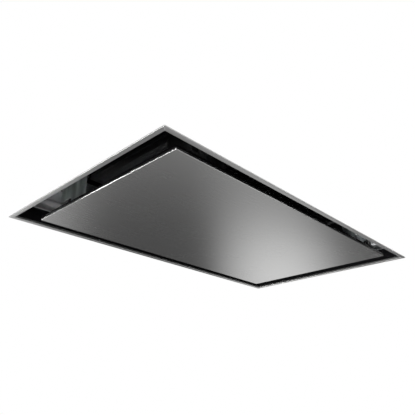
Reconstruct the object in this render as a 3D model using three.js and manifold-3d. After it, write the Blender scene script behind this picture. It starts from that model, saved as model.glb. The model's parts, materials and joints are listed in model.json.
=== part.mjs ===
// Ceiling range hood with a drop-down cover panel and a suction slot all round it.
// Millimetres, +Z up into the ceiling. The origin is the centre of the trim's underside,
// +X runs along the long side, and the cover panel is hinged on the +Y side.

import * as THREE from 'three';
import { mergeVertices } from 'three/addons/utils/BufferGeometryUtils.js';
import Module from 'manifold-3d';

const wasm = await Module();
wasm.setup();

// ---------------------------------------------------------------- driving dimensions

const OVERALL_HEIGHT = 299;

// sheet metal
const SHEET = 1.2;
const TOUCH_GAP = 0.3; // between pieces that are screwed or laid together
const SHEET_CORNER_RADIUS = 3;
const LEAST_CORNER = 0.5;

// trim frame, the part that shows against the ceiling
const TRIM = { length: 900, depth: 500, face: 10, sheet: 1.5, round: 0.7, corner: 2 };
const TRIM_LIP = { height: 5, sheet: 1 };
const SEAL = { fromEdge: 1.5, fromBody: 0.8, height: 1.5 }; // foam strip between trim and ceiling

// mounting frame behind the trim, and the canopy above it
const MOUNTING_FRAME = { top: 35, flange: 6 };
const CANOPY = { top: 130, flange: 8, openingLength: 580, openingDepth: 360 };
const CANOPY_BEAD = { z: 60, depth: 5, half: 8, crest: 3 }; // stiffening bead pressed into the canopy's walls

// filter plate and grease filters
const FILTER_PLATE = { underside: 112, sheet: 1.5, rim: 14 };
const FILTER = { length: 318, depth: 300, thickness: 9, apart: 8, seat: 9, corner: 6 };
const FILTER_RIM = { width: 15, sheet: 1.2 };
const FILTER_CORE = { waves: 22, sheet: 1 };
const TILT_PIN = { radius: 2.4, length: 3.4, root: 2, clearance: 0.3 };
const TILT_EAR = { thickness: 2, width: 13, gap: 1 };
const SPRING_CLIP = { width: 40, sheet: 1, toe: 4, below: 5, clearance: 1 };
const HANDLE = { span: 62, drop: 24, wire: 1.7, bend: 7, end: 3, pinClearance: 0.3, steps: 30 };
const HANDLE_BLOCK = { length: 8, width: 8, height: 5.5, bore: 2.95, root: 0.5 };

// cover panel
const SLOT = { end: 47.5, side: 25 }; // the air's way in, between the trim and the panel
const PANEL = { sheet: 1.2, edge: 6, corner: 4, round: 1 };
const BACKING = { height: 8, sheet: 1.2 };
const STIFFENER = { count: 5, width: 26, length: 290, height: 3, spacing: 104, crest: 0.5, corner: 10.4 };

// posts that carry the panel, its hinges and its catches
const POST = { fromEnd: 72, fromSide: 9, width: 26, thickness: 8, topFlange: 26, flangeSheet: 3 };
const HINGE = { z: 24, pinRadius: 3, eyeRadius: 7, clearance: 0.3, ear: 4, earInset: 2 };
const HINGE_PIN = { headRadius: 4.6, headHeight: 2, tail: 1 };
const FOOT = { inner: 20, outer: 30, inward: 15, outward: 5.5, thickness: 4, corner: 5 };
const FOOT_BLOCK = { height: 11.5, inset: 2, corner: 4 };
const CATCH = { tongueWidth: 10, tongueThickness: 6, tongueTop: 56, clearance: 1.4 };
const CATCH_HOUSING = { height: 26, bottom: 40, thickness: 15, wallAbove: 5, corner: 2 };
const SPRING_LEG = { width: 6, reach: 12, wire: 2.5, top: 29, shoulder: 27, knee: 22 };

// polished corner brackets that stand round the filter area
const BRACKET = { pastFilter: 13, pastPost: 1.5, besidePost: 12, endFrom: 134, sideFrom: 246 };
const BRACKET_HEIGHT = { bottom: 24, outerBottom: 66 };
const BRACKET_FOLD = { foot: 12, hem: 6 };

// blower box, its lid and the deck under the fan
const BOX = { length: 620, depth: 400, flange: 14 };
const LID_RIM = 10;
const DECK_SHEET = 2;
const LID_SCREW = { x: 200, headRadius: 3.8, headHeight: 2.2, shank: 2, drop: 6, reach: 5 };

// fan
const FAN = { x: -70, y: 20 };
const IMPELLER = { radius: 96, innerRadius: 77, bottom: 142, height: 90, ring: 4 };
const BLADE = { count: 36, sheet: 1.2, sweep: 11, curl: 1.6, steps: 3 };
const BLADE_INSET = 0.5; // of each blade's two ends inside the rims
const HUB = { radius: 15, sheet: 2.5, below: 12, above: 5, wall: 4, cone: 5, fillet: 2 };
const SHAFT = { radius: 4, clearance: 0.3, intoMotor: 14, belowNut: 3 };
const NUT = { radius: 8, height: 6 };
const SCROLL = { tongueGap: 10, growth: 62, sheet: 2, roomAbove: 2, tongueAngle: -16, steps: 32 };
const INLET = { flangeRadius: 102, mouthRadius: 90, throatRadius: 73.5, sheet: 1.5, rise: 10, throat: 7 };
const MOTOR = { radius: 58, taper: 10, taperHeight: 6, chamfer: 4, gapAboveHub: 4 };
const MOTOR_FIN = { count: 12, depth: 4, width: 10, above: 8, below: 7 };
const MOTOR_PLATE = { armLength: 84, armWidth: 22, sheet: 1.6, hubRadius: 46 };
const MOTOR_BOLT = { radius: 2.2, fromEnd: 8, angles: [90, 210, 330] };

// outlet collar and its flaps
const OUTLET = { radius: 74.5, wall: 1.4, length: 62, flange: 7.5, flangeSheet: 1.6, sides: 32 };
const OUTLET_BEAD = { rise: 1.6, fromEnd: 12, half: 4, crest: 1 };
const FLAP = { sheet: 1.2, clearance: 1.4, pinRadius: 1.6, knuckle: 3.2, pinOffset: 16 };
const FLAP_KNUCKLES = { count: 4, fromRim: 6, gap: 0.5, room: 0.8 };

// electronics box on the canopy
const ELECTRONICS = { fromEnd: 9.5, fromBlower: 19, y: 0, depth: 190, height: 44, wall: 2, corner: 4 };
const ELECTRONICS_LID = { sheet: 2.4, spigot: 3, spigotWall: 1.5 };
const GLAND = { radius: 9, nut: 12, nutHeight: 6, length: 16, bore: 5, fromEnd: 32, inside: 6 };

// hangers that hold the hood to the ceiling structure
const HANGER = { width: 42, foot: 44, height: 58, top: 34, sheet: 2.5, bend: 4 };
const HANGER_PLACE = { fromBlower: 35, fromSide: 90.5 };
const HANGER_SLOT = { radius: 4.5, length: 17, outward: 3 };
const HANGER_HOLE = { radius: 2.6, apart: 22, inward: 6 };

// ---------------------------------------------------------------- derived sizes

const CUT_MARGIN = 1; // how far a cutting tool stands out of the piece that it cuts

const OPENING = { length: TRIM.length - 2 * TRIM.face, depth: TRIM.depth - 2 * TRIM.face };
const BODY_INNER = {
  length: OPENING.length + 2 * (TRIM_LIP.sheet + TOUCH_GAP),
  depth: OPENING.depth + 2 * (TRIM_LIP.sheet + TOUCH_GAP),
};
const BODY = { length: BODY_INNER.length + 2 * SHEET, depth: BODY_INNER.depth + 2 * SHEET };
const PANEL_SIZE = { length: OPENING.length - 2 * SLOT.end, depth: OPENING.depth - 2 * SLOT.side };
const LID_TOP = OVERALL_HEIGHT;
const BOX_TOP = LID_TOP - SHEET - TOUCH_GAP;
const DECK_TOP = CANOPY.top + TOUCH_GAP + DECK_SHEET;
const SCROLL_BOTTOM = DECK_TOP + TOUCH_GAP;
const SCROLL_TOP = BOX_TOP - SCROLL.roomAbove;
const OUTLET_Z = (SCROLL_BOTTOM + SCROLL_TOP - SCROLL.sheet) / 2;
const SCROLL_START = IMPELLER.radius + SCROLL.tongueGap;
const SCROLL_END = SCROLL_START + SCROLL.growth;
const TONGUE_Y = SCROLL_START * Math.sin(THREE.MathUtils.degToRad(SCROLL.tongueAngle));
const OUTLET_Y = FAN.y + (TONGUE_Y - SCROLL_END) / 2;
const FILTER_TOP = FILTER_PLATE.underside - TOUCH_GAP;
const FILTER_BOTTOM = FILTER_TOP - FILTER.thickness;
const FILTER_SPACING = FILTER.length + FILTER.apart;
const FILTER_END = FILTER.length + FILTER.apart / 2;
const FILTER_PIN_Y = (FILTER.depth - FILTER.thickness) / 2; // the filter's rear edge is a full round about it
const HANDLE_Y = -(FILTER.depth - FILTER_RIM.width) / 2;
const FOOT_BOTTOM = PANEL.sheet + TOUCH_GAP + BACKING.sheet + TOUCH_GAP;
const FOOT_TOP = FOOT_BOTTOM + FOOT.thickness;
const FOOT_MIDDLE = FOOT_BOTTOM + FOOT.thickness / 2;
const POST_TOP = FILTER_PLATE.underside - TOUCH_GAP;
const POST_X = PANEL_SIZE.length / 2 - POST.fromEnd;
const POST_Y = PANEL_SIZE.depth / 2 - POST.fromSide;
const BRACKET_X = Math.max(FILTER_END + BRACKET.pastFilter, POST_X + POST.width / 2 + BRACKET.pastPost);
const BRACKET_Y = POST_Y - BRACKET.besidePost;
const ELECTRONICS_LENGTH = (BODY.length - BOX.length) / 2 - ELECTRONICS.fromEnd - ELECTRONICS.fromBlower;
const ELECTRONICS_X = -(BODY.length / 2 - ELECTRONICS.fromEnd - ELECTRONICS_LENGTH / 2);
const GLAND_X = GLAND.fromEnd - ELECTRONICS_LENGTH / 2;
const HANGER_X = BOX.length / 2 + HANGER_PLACE.fromBlower + HANGER.width / 2;
const HANGER_START_Y = BODY.depth / 2 - HANGER_PLACE.fromSide;

// ---------------------------------------------------------------- solids

const X = new THREE.Vector3(1, 0, 0);
const Y = new THREE.Vector3(0, 1, 0);
const Z = new THREE.Vector3(0, 0, 1);

/** A closed solid of a three.js geometry, with its shared corners merged. */
function solid(geometry) {
  geometry.deleteAttribute('normal');
  geometry.deleteAttribute('uv');
  const merged = mergeVertices(geometry, 1e-4);
  const vertProperties = new Float32Array(merged.attributes.position.array);
  const triVerts = new Uint32Array(merged.index.array);
  return new wasm.Manifold(new wasm.Mesh({ numProp: 3, vertProperties, triVerts }));
}

/** Turns the triangles of a geometry the other way round. */
function flipped(geometry) {
  const index = geometry.index.array;
  for (let i = 0; i < index.length; i += 3) {
    [index[i], index[i + 1]] = [index[i + 1], index[i]];
  }
  return geometry;
}

const cut = (body, ...tools) => tools.reduce((left, tool) => left.subtract(tool), body);
const join = (...bodies) => bodies.reduce((whole, body) => whole.add(body));
const moved = (body, x, y, z) => body.translate([x, y, z]);

/** A block between two corners. */
function block([x0, x1], [y0, y1], [z0, z1]) {
  const box = new THREE.BoxGeometry(x1 - x0, y1 - y0, z1 - z0);
  return solid(box.translate((x0 + x1) / 2, (y0 + y1) / 2, (z0 + z1) / 2));
}

/** A block centred on a point in plan, between two heights. */
const slab = (x, y, length, depth, z0, z1) =>
  block([x - length / 2, x + length / 2], [y - depth / 2, y + depth / 2], [z0, z1]);

/** A flat outline drawn in X and Y, raised from z0 to z1. */
function raised(shape, z0, z1, curveSegments = 1) {
  const geometry = new THREE.ExtrudeGeometry(shape, { depth: z1 - z0, bevelEnabled: false, curveSegments });
  return solid(geometry.translate(0, 0, z0));
}

/** An outline drawn in Y and Z, run along X from x0 to x1. */
function runAlongX(shape, x0, x1, curveSegments = 2) {
  const geometry = new THREE.ExtrudeGeometry(shape, { depth: x1 - x0, bevelEnabled: false, curveSegments });
  geometry.applyMatrix4(new THREE.Matrix4().makeBasis(Y, Z, X));
  return solid(geometry.translate(x0, 0, 0));
}

/** An outline drawn in X and Z, run along Y from y0 to y1. */
function runAlongY(shape, y0, y1, curveSegments = 2) {
  const geometry = new THREE.ExtrudeGeometry(shape, { depth: y1 - y0, bevelEnabled: false, curveSegments });
  geometry.applyMatrix4(new THREE.Matrix4().makeBasis(X, Z, Y.clone().negate()));
  return solid(geometry.translate(0, y1, 0));
}

/** A rectangle with round corners. */
function roundRect(length, depth, radius, x = 0, y = 0) {
  const [a, b] = [length / 2 - radius, depth / 2 - radius];
  const shape = new THREE.Shape();
  shape.absarc(x + a, y + b, radius, 0, Math.PI / 2);
  shape.absarc(x - a, y + b, radius, Math.PI / 2, Math.PI);
  shape.absarc(x - a, y - b, radius, Math.PI, 1.5 * Math.PI);
  shape.absarc(x + a, y - b, radius, 1.5 * Math.PI, 2 * Math.PI);
  shape.closePath();
  return shape;
}

/** The band between two rectangles with round corners that share a centre. */
function ring(outer, inner, radius) {
  const innerRadius = Math.max(radius - (outer.length - inner.length) / 2, LEAST_CORNER);
  const shape = roundRect(outer.length, outer.depth, radius);
  shape.holes.push(roundRect(inner.length, inner.depth, innerRadius));
  return shape;
}

/** A slot with round ends that runs along Y. */
function slotShape(radius, length) {
  const half = length / 2 - radius;
  const shape = new THREE.Shape();
  shape.absarc(0, half, radius, 0, Math.PI);
  shape.absarc(0, -half, radius, Math.PI, 2 * Math.PI);
  shape.closePath();
  return shape;
}

const grown = ({ length, depth }, by) => ({ length: length + 2 * by, depth: depth + 2 * by });

/** A round bar along Z. */
function bar(radius, z0, z1, segments = 20) {
  const geometry = new THREE.CylinderGeometry(radius, radius, z1 - z0, segments);
  return solid(geometry.rotateX(Math.PI / 2).translate(0, 0, (z0 + z1) / 2));
}

/** A round bar along X. */
function barAlongX(radius, x0, x1, segments = 16) {
  const geometry = new THREE.CylinderGeometry(radius, radius, x1 - x0, segments);
  return solid(geometry.rotateZ(Math.PI / 2).translate((x0 + x1) / 2, 0, 0));
}

/** A round bar along Y. */
function barAlongY(radius, y0, y1, segments = 12) {
  const geometry = new THREE.CylinderGeometry(radius, radius, y1 - y0, segments);
  return solid(geometry.translate(0, (y0 + y1) / 2, 0));
}

/** A closed profile of [radius, height] points turned round the Z axis. */
function turned(profile, segments = 36) {
  const points = [...profile, profile[0]].map(([radius, height]) => new THREE.Vector2(radius, height));
  const geometry = new THREE.LatheGeometry(points, segments).rotateX(Math.PI / 2);
  const body = solid(geometry);
  return body.volume() > 0 ? body : solid(flipped(mergeVertices(geometry, 1e-4)));
}

/** An outline through a list of [x, y] points. */
const outline = (points) => new THREE.Shape(points.map(([x, y]) => new THREE.Vector2(x, y)));

// ---------------------------------------------------------------- meshes

const LOOKS = {
  brushedSteel: [0xb4b5b4, 0.32, 1],
  satinSteel: [0xa9a9a7, 0.28, 1],
  polishedSteel: [0xd2d3d3, 0.12, 1],
  zincSteel: [0xa3a8aa, 0.45, 1],
  blackSteel: [0x111212, 0.5, 0.4],
  blackPlastic: [0x0c0c0d, 0.45, 0],
  whitePlastic: [0xd9d9d4, 0.5, 0],
  aluminium: [0xbcbec0, 0.4, 1],
  motorGrey: [0x777c80, 0.5, 0.6],
};

const hood = new THREE.Group();

/** Adds a solid to a group as a named mesh with its own material. */
function add(group, name, body, look) {
  const data = body.getMesh();
  const geometry = new THREE.BufferGeometry();
  geometry.setAttribute('position', new THREE.BufferAttribute(data.vertProperties, 3));
  geometry.setIndex(new THREE.BufferAttribute(data.triVerts, 1));
  geometry.computeVertexNormals();
  const [color, roughness, metalness] = LOOKS[look];
  const mesh = new THREE.Mesh(geometry, new THREE.MeshStandardMaterial({ color, roughness, metalness }));
  mesh.name = name;
  group.add(mesh);
}

/** A group placed in the hood, mirrored where a sign is negative. */
function place(x, y, z, signX = 1, signY = 1) {
  const group = new THREE.Group();
  group.position.set(x, y, z);
  group.scale.set(signX, signY, 1);
  hood.add(group);
  return group;
}

const SIDES = [['left', -1], ['right', 1]];
const CORNERS = [['left_front', -1, -1], ['right_front', 1, -1], ['left_rear', -1, 1], ['right_rear', 1, 1]];

// ---------------------------------------------------------------- trim and mounting frame

function trimFrame() {
  const face = new THREE.ExtrudeGeometry(ring(TRIM, OPENING, TRIM.corner), {
    depth: 2 * TRIM.sheet,
    bevelThickness: TRIM.round,
    bevelSize: TRIM.round,
    bevelOffset: -TRIM.round,
    bevelSegments: 2,
    curveSegments: 1,
  });
  const around = grown(TRIM, CUT_MARGIN);
  const above = slab(0, 0, around.length, around.depth, TRIM.sheet, 4 * TRIM.sheet);
  const flange = cut(solid(face.translate(0, 0, TRIM.round)), above);
  const lip = raised(ring(grown(OPENING, TRIM_LIP.sheet), OPENING, TRIM.corner), TRIM.round, TRIM_LIP.height);
  return join(flange, lip);
}

function ceilingSeal() {
  const bottom = TRIM.sheet + TOUCH_GAP;
  const band = ring(grown(TRIM, -SEAL.fromEdge), grown(BODY, SEAL.fromBody), TRIM.corner);
  return raised(band, bottom, bottom + SEAL.height);
}

function mountingFrame() {
  const bottom = TRIM.sheet + TOUCH_GAP;
  const wall = raised(ring(BODY, BODY_INNER, SHEET_CORNER_RADIUS), bottom, MOUNTING_FRAME.top);
  const flangeInner = grown(BODY_INNER, -MOUNTING_FRAME.flange);
  const band = ring(BODY, flangeInner, SHEET_CORNER_RADIUS);
  return join(wall, raised(band, MOUNTING_FRAME.top - SHEET, MOUNTING_FRAME.top));
}

// ---------------------------------------------------------------- canopy

/** A prism over a plan size, whose two ends narrow by the bead's depth. */
function narrowedEnds(size, z0, z1) {
  const { depth, half, crest } = CANOPY_BEAD;
  const slope = half - crest;
  const end = grown(size, -depth);
  const geometry = new THREE.ExtrudeGeometry(roundRect(end.length, end.depth, LEAST_CORNER), {
    depth: z1 - z0 - 2 * slope,
    bevelThickness: slope,
    bevelSize: depth,
    bevelSegments: 1,
    curveSegments: 1,
  });
  return solid(geometry.translate(0, 0, z0 + slope));
}

/** The ridge of a bead that stands inwards from the walls of a plan size. */
function beadRidge(size) {
  const { z, depth, half, crest } = CANOPY_BEAD;
  const shape = ring(grown(size, CUT_MARGIN), grown(size, -depth), SHEET_CORNER_RADIUS);
  const band = raised(shape, z - half, z + half);
  const far = 4 * half;
  return cut(band, narrowedEnds(size, z - far, z - crest), narrowedEnds(size, z + crest, z + far));
}

function canopyShell() {
  const bottom = MOUNTING_FRAME.top + TOUCH_GAP;
  const straight = raised(ring(BODY, BODY_INNER, SHEET_CORNER_RADIUS), bottom, CANOPY.top);
  const walls = cut(join(straight, beadRidge(BODY_INNER)), beadRidge(BODY));
  const flangeInner = grown(BODY_INNER, -CANOPY.flange);
  const flange = raised(ring(BODY, flangeInner, SHEET_CORNER_RADIUS), bottom, bottom + SHEET);
  const opening = { length: CANOPY.openingLength, depth: CANOPY.openingDepth };
  const top = raised(ring(BODY, opening, SHEET_CORNER_RADIUS), CANOPY.top - SHEET, CANOPY.top);
  return join(walls, flange, top);
}

// ---------------------------------------------------------------- filter plate

/** An ear that holds a filter's tilt pin, from x0 to x1. */
function tiltEar(x0, x1) {
  const pinZ = FILTER_BOTTOM + FILTER.thickness / 2;
  const shape = new THREE.Shape();
  const half = TILT_EAR.width / 2;
  shape.moveTo(half, FILTER_PLATE.underside + FILTER_PLATE.sheet / 2);
  shape.lineTo(-half, FILTER_PLATE.underside + FILTER_PLATE.sheet / 2);
  shape.lineTo(-half, pinZ);
  shape.absarc(0, pinZ, half, Math.PI, 2 * Math.PI);
  shape.closePath();
  const hole = new THREE.Path();
  hole.absarc(0, pinZ, TILT_PIN.radius + TILT_PIN.clearance, 0, 2 * Math.PI);
  shape.holes.push(hole);
  return moved(runAlongX(shape, x0, x1, 5), 0, FILTER_PIN_Y, 0);
}

/** The leaf spring that holds a filter's front edge up. */
function springClip() {
  const top = FILTER_PLATE.underside + FILTER_PLATE.sheet / 2;
  const y = -FILTER.depth / 2 - SPRING_CLIP.clearance - SPRING_CLIP.sheet;
  const toe = FILTER_BOTTOM - SPRING_CLIP.below;
  const shape = outline([
    [y, top],
    [y, toe],
    [y - SPRING_CLIP.toe, toe - SPRING_CLIP.toe],
    [y - SPRING_CLIP.toe + SPRING_CLIP.sheet, toe - SPRING_CLIP.toe - SPRING_CLIP.sheet],
    [y + SPRING_CLIP.sheet, toe],
    [y + SPRING_CLIP.sheet, top],
  ]);
  return runAlongX(shape, -SPRING_CLIP.width / 2, SPRING_CLIP.width / 2);
}

function filterPlate() {
  const outer = grown(BODY_INNER, -TOUCH_GAP);
  const { underside, sheet, rim } = FILTER_PLATE;
  const corner = SHEET_CORNER_RADIUS - SHEET;
  const plate = raised(roundRect(outer.length, outer.depth, corner), underside, underside + sheet);
  const edge = ring(outer, grown(outer, -sheet), corner);
  const skirt = raised(edge, underside - rim, underside + sheet);
  const window = roundRect(FILTER.length - 2 * FILTER.seat, FILTER.depth - 2 * FILTER.seat, FILTER.corner);
  const inner = (FILTER_SPACING - FILTER.length) / 2 - TILT_EAR.gap;
  const outerEnd = (FILTER_SPACING + FILTER.length) / 2 + TILT_EAR.gap;
  let body = join(plate, skirt, tiltEar(-inner, inner));
  for (const [, side] of SIDES) {
    const x = side * FILTER_SPACING / 2;
    const ends = [side * outerEnd, side * (outerEnd + TILT_EAR.thickness)];
    body = cut(body, moved(raised(window, underside - CUT_MARGIN, underside + sheet + CUT_MARGIN), x, 0, 0));
    body = join(body, tiltEar(Math.min(...ends), Math.max(...ends)), moved(springClip(), x, 0, 0));
  }
  return body;
}

// ---------------------------------------------------------------- corner brackets

/** Two walls that meet beside a post: one along the recess, one across its end and on to the canopy. */
function cornerBracket() {
  const { endFrom, sideFrom } = BRACKET;
  const { bottom, outerBottom } = BRACKET_HEIGHT;
  const { foot, hem } = BRACKET_FOLD;
  const sideY = BODY_INNER.depth / 2 - FILTER_PLATE.sheet - 2 * TOUCH_GAP;
  const [x, y] = [BRACKET_X, BRACKET_Y];
  const step = y - SHEET / 2;
  const endProfile = outline([
    [endFrom, bottom], [step, bottom], [step, outerBottom],
    [sideY, outerBottom], [sideY, POST_TOP], [endFrom, POST_TOP],
  ]);
  const endWall = runAlongX(endProfile, x, x + SHEET);
  const sideWall = block([sideFrom, x + SHEET / 2], [y - SHEET, y], [bottom, POST_TOP]);
  const sideFoot = block([sideFrom, x], [y - foot, y - SHEET / 2], [POST_TOP - SHEET, POST_TOP]);
  const sideHem = block([sideFrom, sideFrom + SHEET], [y - hem, y - SHEET / 2], [bottom, POST_TOP]);
  return join(endWall, sideWall, sideFoot, sideHem);
}

// ---------------------------------------------------------------- posts, hinges and catches

/** The upper stem of a post, which hangs from the filter plate, centred on X and Y. */
function postStem(bottom) {
  const { width, thickness, topFlange, flangeSheet } = POST;
  const stem = slab(0, 0, width, thickness, bottom, POST_TOP);
  const flange = slab(0, (topFlange - thickness) / 2, width, topFlange, POST_TOP - flangeSheet, POST_TOP);
  const face = thickness / 2;
  const gusset = outline([[face, POST_TOP], [topFlange - face, POST_TOP], [face, POST_TOP - topFlange]]);
  return join(stem, flange, runAlongX(gusset, -flangeSheet / 2, flangeSheet / 2));
}

function hingePost() {
  const { width, thickness } = POST;
  const eye = moved(barAlongX(HINGE.eyeRadius, -width / 2, width / 2), 0, 0, HINGE.z);
  const web = slab(0, 0, width, thickness, HINGE.z, HINGE.z + 2 * HINGE.eyeRadius);
  const bore = moved(barAlongX(HINGE.pinRadius + HINGE.clearance, -width, width), 0, 0, HINGE.z);
  return cut(join(postStem(HINGE.z + HINGE.eyeRadius), eye, web), bore);
}

/** The foot on the panel: a plate with round ends and a block that runs from x = start to its outer end. */
function footPlate(start) {
  const { inner, outer, inward, outward, corner } = FOOT;
  const [midX, midY] = [(outer - inner) / 2, (outward - inward) / 2];
  const plate = raised(roundRect(inner + outer, inward + outward, corner, midX, midY), FOOT_BOTTOM, FOOT_TOP);
  const depth = inward + outward - 2 * FOOT_BLOCK.inset;
  const blockShape = roundRect(outer - start, depth, FOOT_BLOCK.corner, (outer + start) / 2, midY);
  return join(plate, raised(blockShape, FOOT_MIDDLE, FOOT_TOP + FOOT_BLOCK.height));
}

function hingeLeaf() {
  const earShape = new THREE.Shape();
  earShape.moveTo(HINGE.earInset - FOOT.inward, FOOT_MIDDLE);
  earShape.lineTo(FOOT.outward - HINGE.earInset / 2, FOOT_MIDDLE);
  earShape.lineTo(HINGE.eyeRadius, HINGE.z);
  earShape.absarc(0, HINGE.z, HINGE.eyeRadius, 0, Math.PI);
  earShape.closePath();
  const hole = new THREE.Path();
  hole.absarc(0, HINGE.z, HINGE.pinRadius + HINGE.clearance, 0, 2 * Math.PI);
  earShape.holes.push(hole);
  const near = POST.width / 2 + TOUCH_GAP;
  const far = near + HINGE.ear;
  const ears = [runAlongX(earShape, -far, -near, 4), runAlongX(earShape, near, far, 4)];
  return join(footPlate(far + TOUCH_GAP), ...ears);
}

function hingePin() {
  const end = POST.width / 2 + TOUCH_GAP + HINGE.ear + TOUCH_GAP;
  const pin = barAlongX(HINGE.pinRadius, -end, end + HINGE_PIN.tail);
  const head = barAlongX(HINGE_PIN.headRadius, -end - HINGE_PIN.headHeight, -end);
  return moved(join(pin, head), 0, 0, HINGE.z);
}

function catchPost() {
  const { height, bottom, thickness, wallAbove, corner } = CATCH_HOUSING;
  const housing = raised(roundRect(POST.width, thickness, corner), bottom, bottom + height);
  const pocketWidth = CATCH.tongueWidth + 2 * CATCH.clearance;
  const pocketDepth = CATCH.tongueThickness + 2 * CATCH.clearance;
  const pocket = slab(0, 0, pocketWidth, pocketDepth, bottom - CUT_MARGIN, bottom + height - wallAbove);
  return cut(join(postStem(bottom + height - wallAbove / 2), housing), pocket);
}

/** The bent leg that steadies the catch's tongue, behind it. */
function springLeg() {
  const { width, reach, wire, top, shoulder, knee } = SPRING_LEG;
  const [root, back, bent] = [-CATCH.tongueThickness / 2 + LEAST_CORNER, -reach + wire, -(reach * 2) / 3];
  const shape = outline([
    [root, top], [bent, shoulder], [-reach, knee], [-reach, FOOT_MIDDLE],
    [back, FOOT_MIDDLE], [back, knee - wire / 4], [bent + wire / 2, shoulder - wire], [root, top - wire],
  ]);
  return runAlongX(shape, -width / 2, width / 2);
}

function catchStrike() {
  const half = CATCH.tongueWidth / 2;
  const shape = new THREE.Shape();
  shape.moveTo(-half, FOOT_MIDDLE);
  shape.lineTo(half, FOOT_MIDDLE);
  shape.lineTo(half, CATCH.tongueTop - half);
  shape.absarc(0, CATCH.tongueTop - half, half, 0, Math.PI);
  shape.closePath();
  const tongue = runAlongY(shape, -CATCH.tongueThickness / 2, CATCH.tongueThickness / 2, 5);
  return join(footPlate(0), tongue, springLeg());
}

// ---------------------------------------------------------------- cover panel

function panelFace() {
  const { sheet, edge, corner, round } = PANEL;
  const { length, depth } = PANEL_SIZE;
  const face = new THREE.ExtrudeGeometry(roundRect(length, depth, corner), {
    depth: edge,
    bevelThickness: round,
    bevelSize: round,
    bevelOffset: -round,
    bevelSegments: 2,
    curveSegments: 2,
  });
  const around = grown(PANEL_SIZE, CUT_MARGIN);
  const room = grown(PANEL_SIZE, -sheet);
  const above = slab(0, 0, around.length, around.depth, edge, edge + 4 * round);
  const inside = raised(roundRect(room.length, room.depth, corner - sheet), sheet, edge + CUT_MARGIN);
  return cut(solid(face.translate(0, 0, round)), above, inside);
}

function panelBacking() {
  const { height, sheet } = BACKING;
  const bottom = PANEL.sheet + TOUCH_GAP;
  const outer = grown(PANEL_SIZE, -PANEL.sheet - TOUCH_GAP);
  const radius = PANEL.corner - PANEL.sheet - TOUCH_GAP;
  const base = raised(roundRect(outer.length, outer.depth, radius), bottom, bottom + sheet);
  const wall = raised(ring(outer, grown(outer, -sheet), radius), bottom, bottom + height);
  const ribs = [];
  for (let i = 0; i < STIFFENER.count; i += 1) {
    const x = (i - (STIFFENER.count - 1) / 2) * STIFFENER.spacing;
    const shape = roundRect(STIFFENER.width, STIFFENER.length, STIFFENER.corner);
    const geometry = new THREE.ExtrudeGeometry(shape, {
      depth: STIFFENER.crest,
      bevelThickness: STIFFENER.height,
      bevelSize: STIFFENER.height,
      bevelOffset: -STIFFENER.height,
      bevelSegments: 1,
      curveSegments: 1,
    });
    const below = slab(0, 0, 2 * STIFFENER.width, 2 * STIFFENER.length, -2 * STIFFENER.height, 0);
    const pressed = cut(solid(geometry), below);
    ribs.push(moved(pressed, x, 0, bottom + sheet / 2));
  }
  return join(base, wall, ...ribs);
}

// ---------------------------------------------------------------- grease filters

/** The inside of the channel that a filter's rim forms round its core. */
const filterGroove = () => grown(FILTER, -2 * FILTER_RIM.sheet);

/** The filter's rim, a channel round its core, in the filter's own place. */
function filterFrame() {
  const { length, depth, thickness, corner } = FILTER;
  const body = raised(ring(FILTER, grown(FILTER, -FILTER_RIM.width), corner), 0, thickness);
  const room = filterGroove();
  const groove = slab(0, 0, room.length, room.depth, FILTER_RIM.sheet, thickness - FILTER_RIM.sheet);
  const nose = moved(barAlongX(thickness / 2, -length, length), 0, FILTER_PIN_Y, thickness / 2);
  const beyondPin = slab(0, FILTER_PIN_Y + depth / 2, 2 * length, depth, -thickness, 2 * thickness);
  const pins = SIDES.map(([, side]) => {
    const near = side * (length / 2 - TILT_PIN.root);
    const far = side * (length / 2 + TILT_PIN.length);
    const pin = barAlongX(TILT_PIN.radius, Math.min(near, far), Math.max(near, far), 10);
    return moved(pin, 0, FILTER_PIN_Y, thickness / 2);
  });
  return join(cut(body, groove, cut(beyondPin, nose)), ...pins);
}

/** The folded mesh pack that fills the filter's rim. */
function filterCore() {
  const { length, depth } = grown(filterGroove(), -TOUCH_GAP);
  const { waves, sheet } = FILTER_CORE;
  const height = FILTER.thickness - 2 * (FILTER_RIM.sheet + TOUCH_GAP) - sheet;
  const steps = waves * 2;
  const wave = (offset) => Array.from({ length: steps + 1 }, (_, i) => [
    -length / 2 + (length * i) / steps,
    FILTER.thickness / 2 + (i % 2 ? height / 2 : -height / 2) + offset,
  ]);
  const shape = outline([...wave(-sheet / 2), ...wave(sheet / 2).reverse()]);
  return runAlongY(shape, -depth / 2, depth / 2);
}

/** The blocks that the handle's wire turns in. */
function handleBlocks() {
  const { length, width, height, bore, root } = HANDLE_BLOCK;
  return SIDES.map(([, side]) => {
    const x = side * (HANDLE.span / 2);
    const base = slab(x, HANDLE_Y, length, width, -height, root);
    const hole = barAlongX(HANDLE.wire + HANDLE.pinClearance, x - length, x + length);
    return cut(base, moved(hole, 0, HANDLE_Y, -bore));
  });
}

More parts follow.
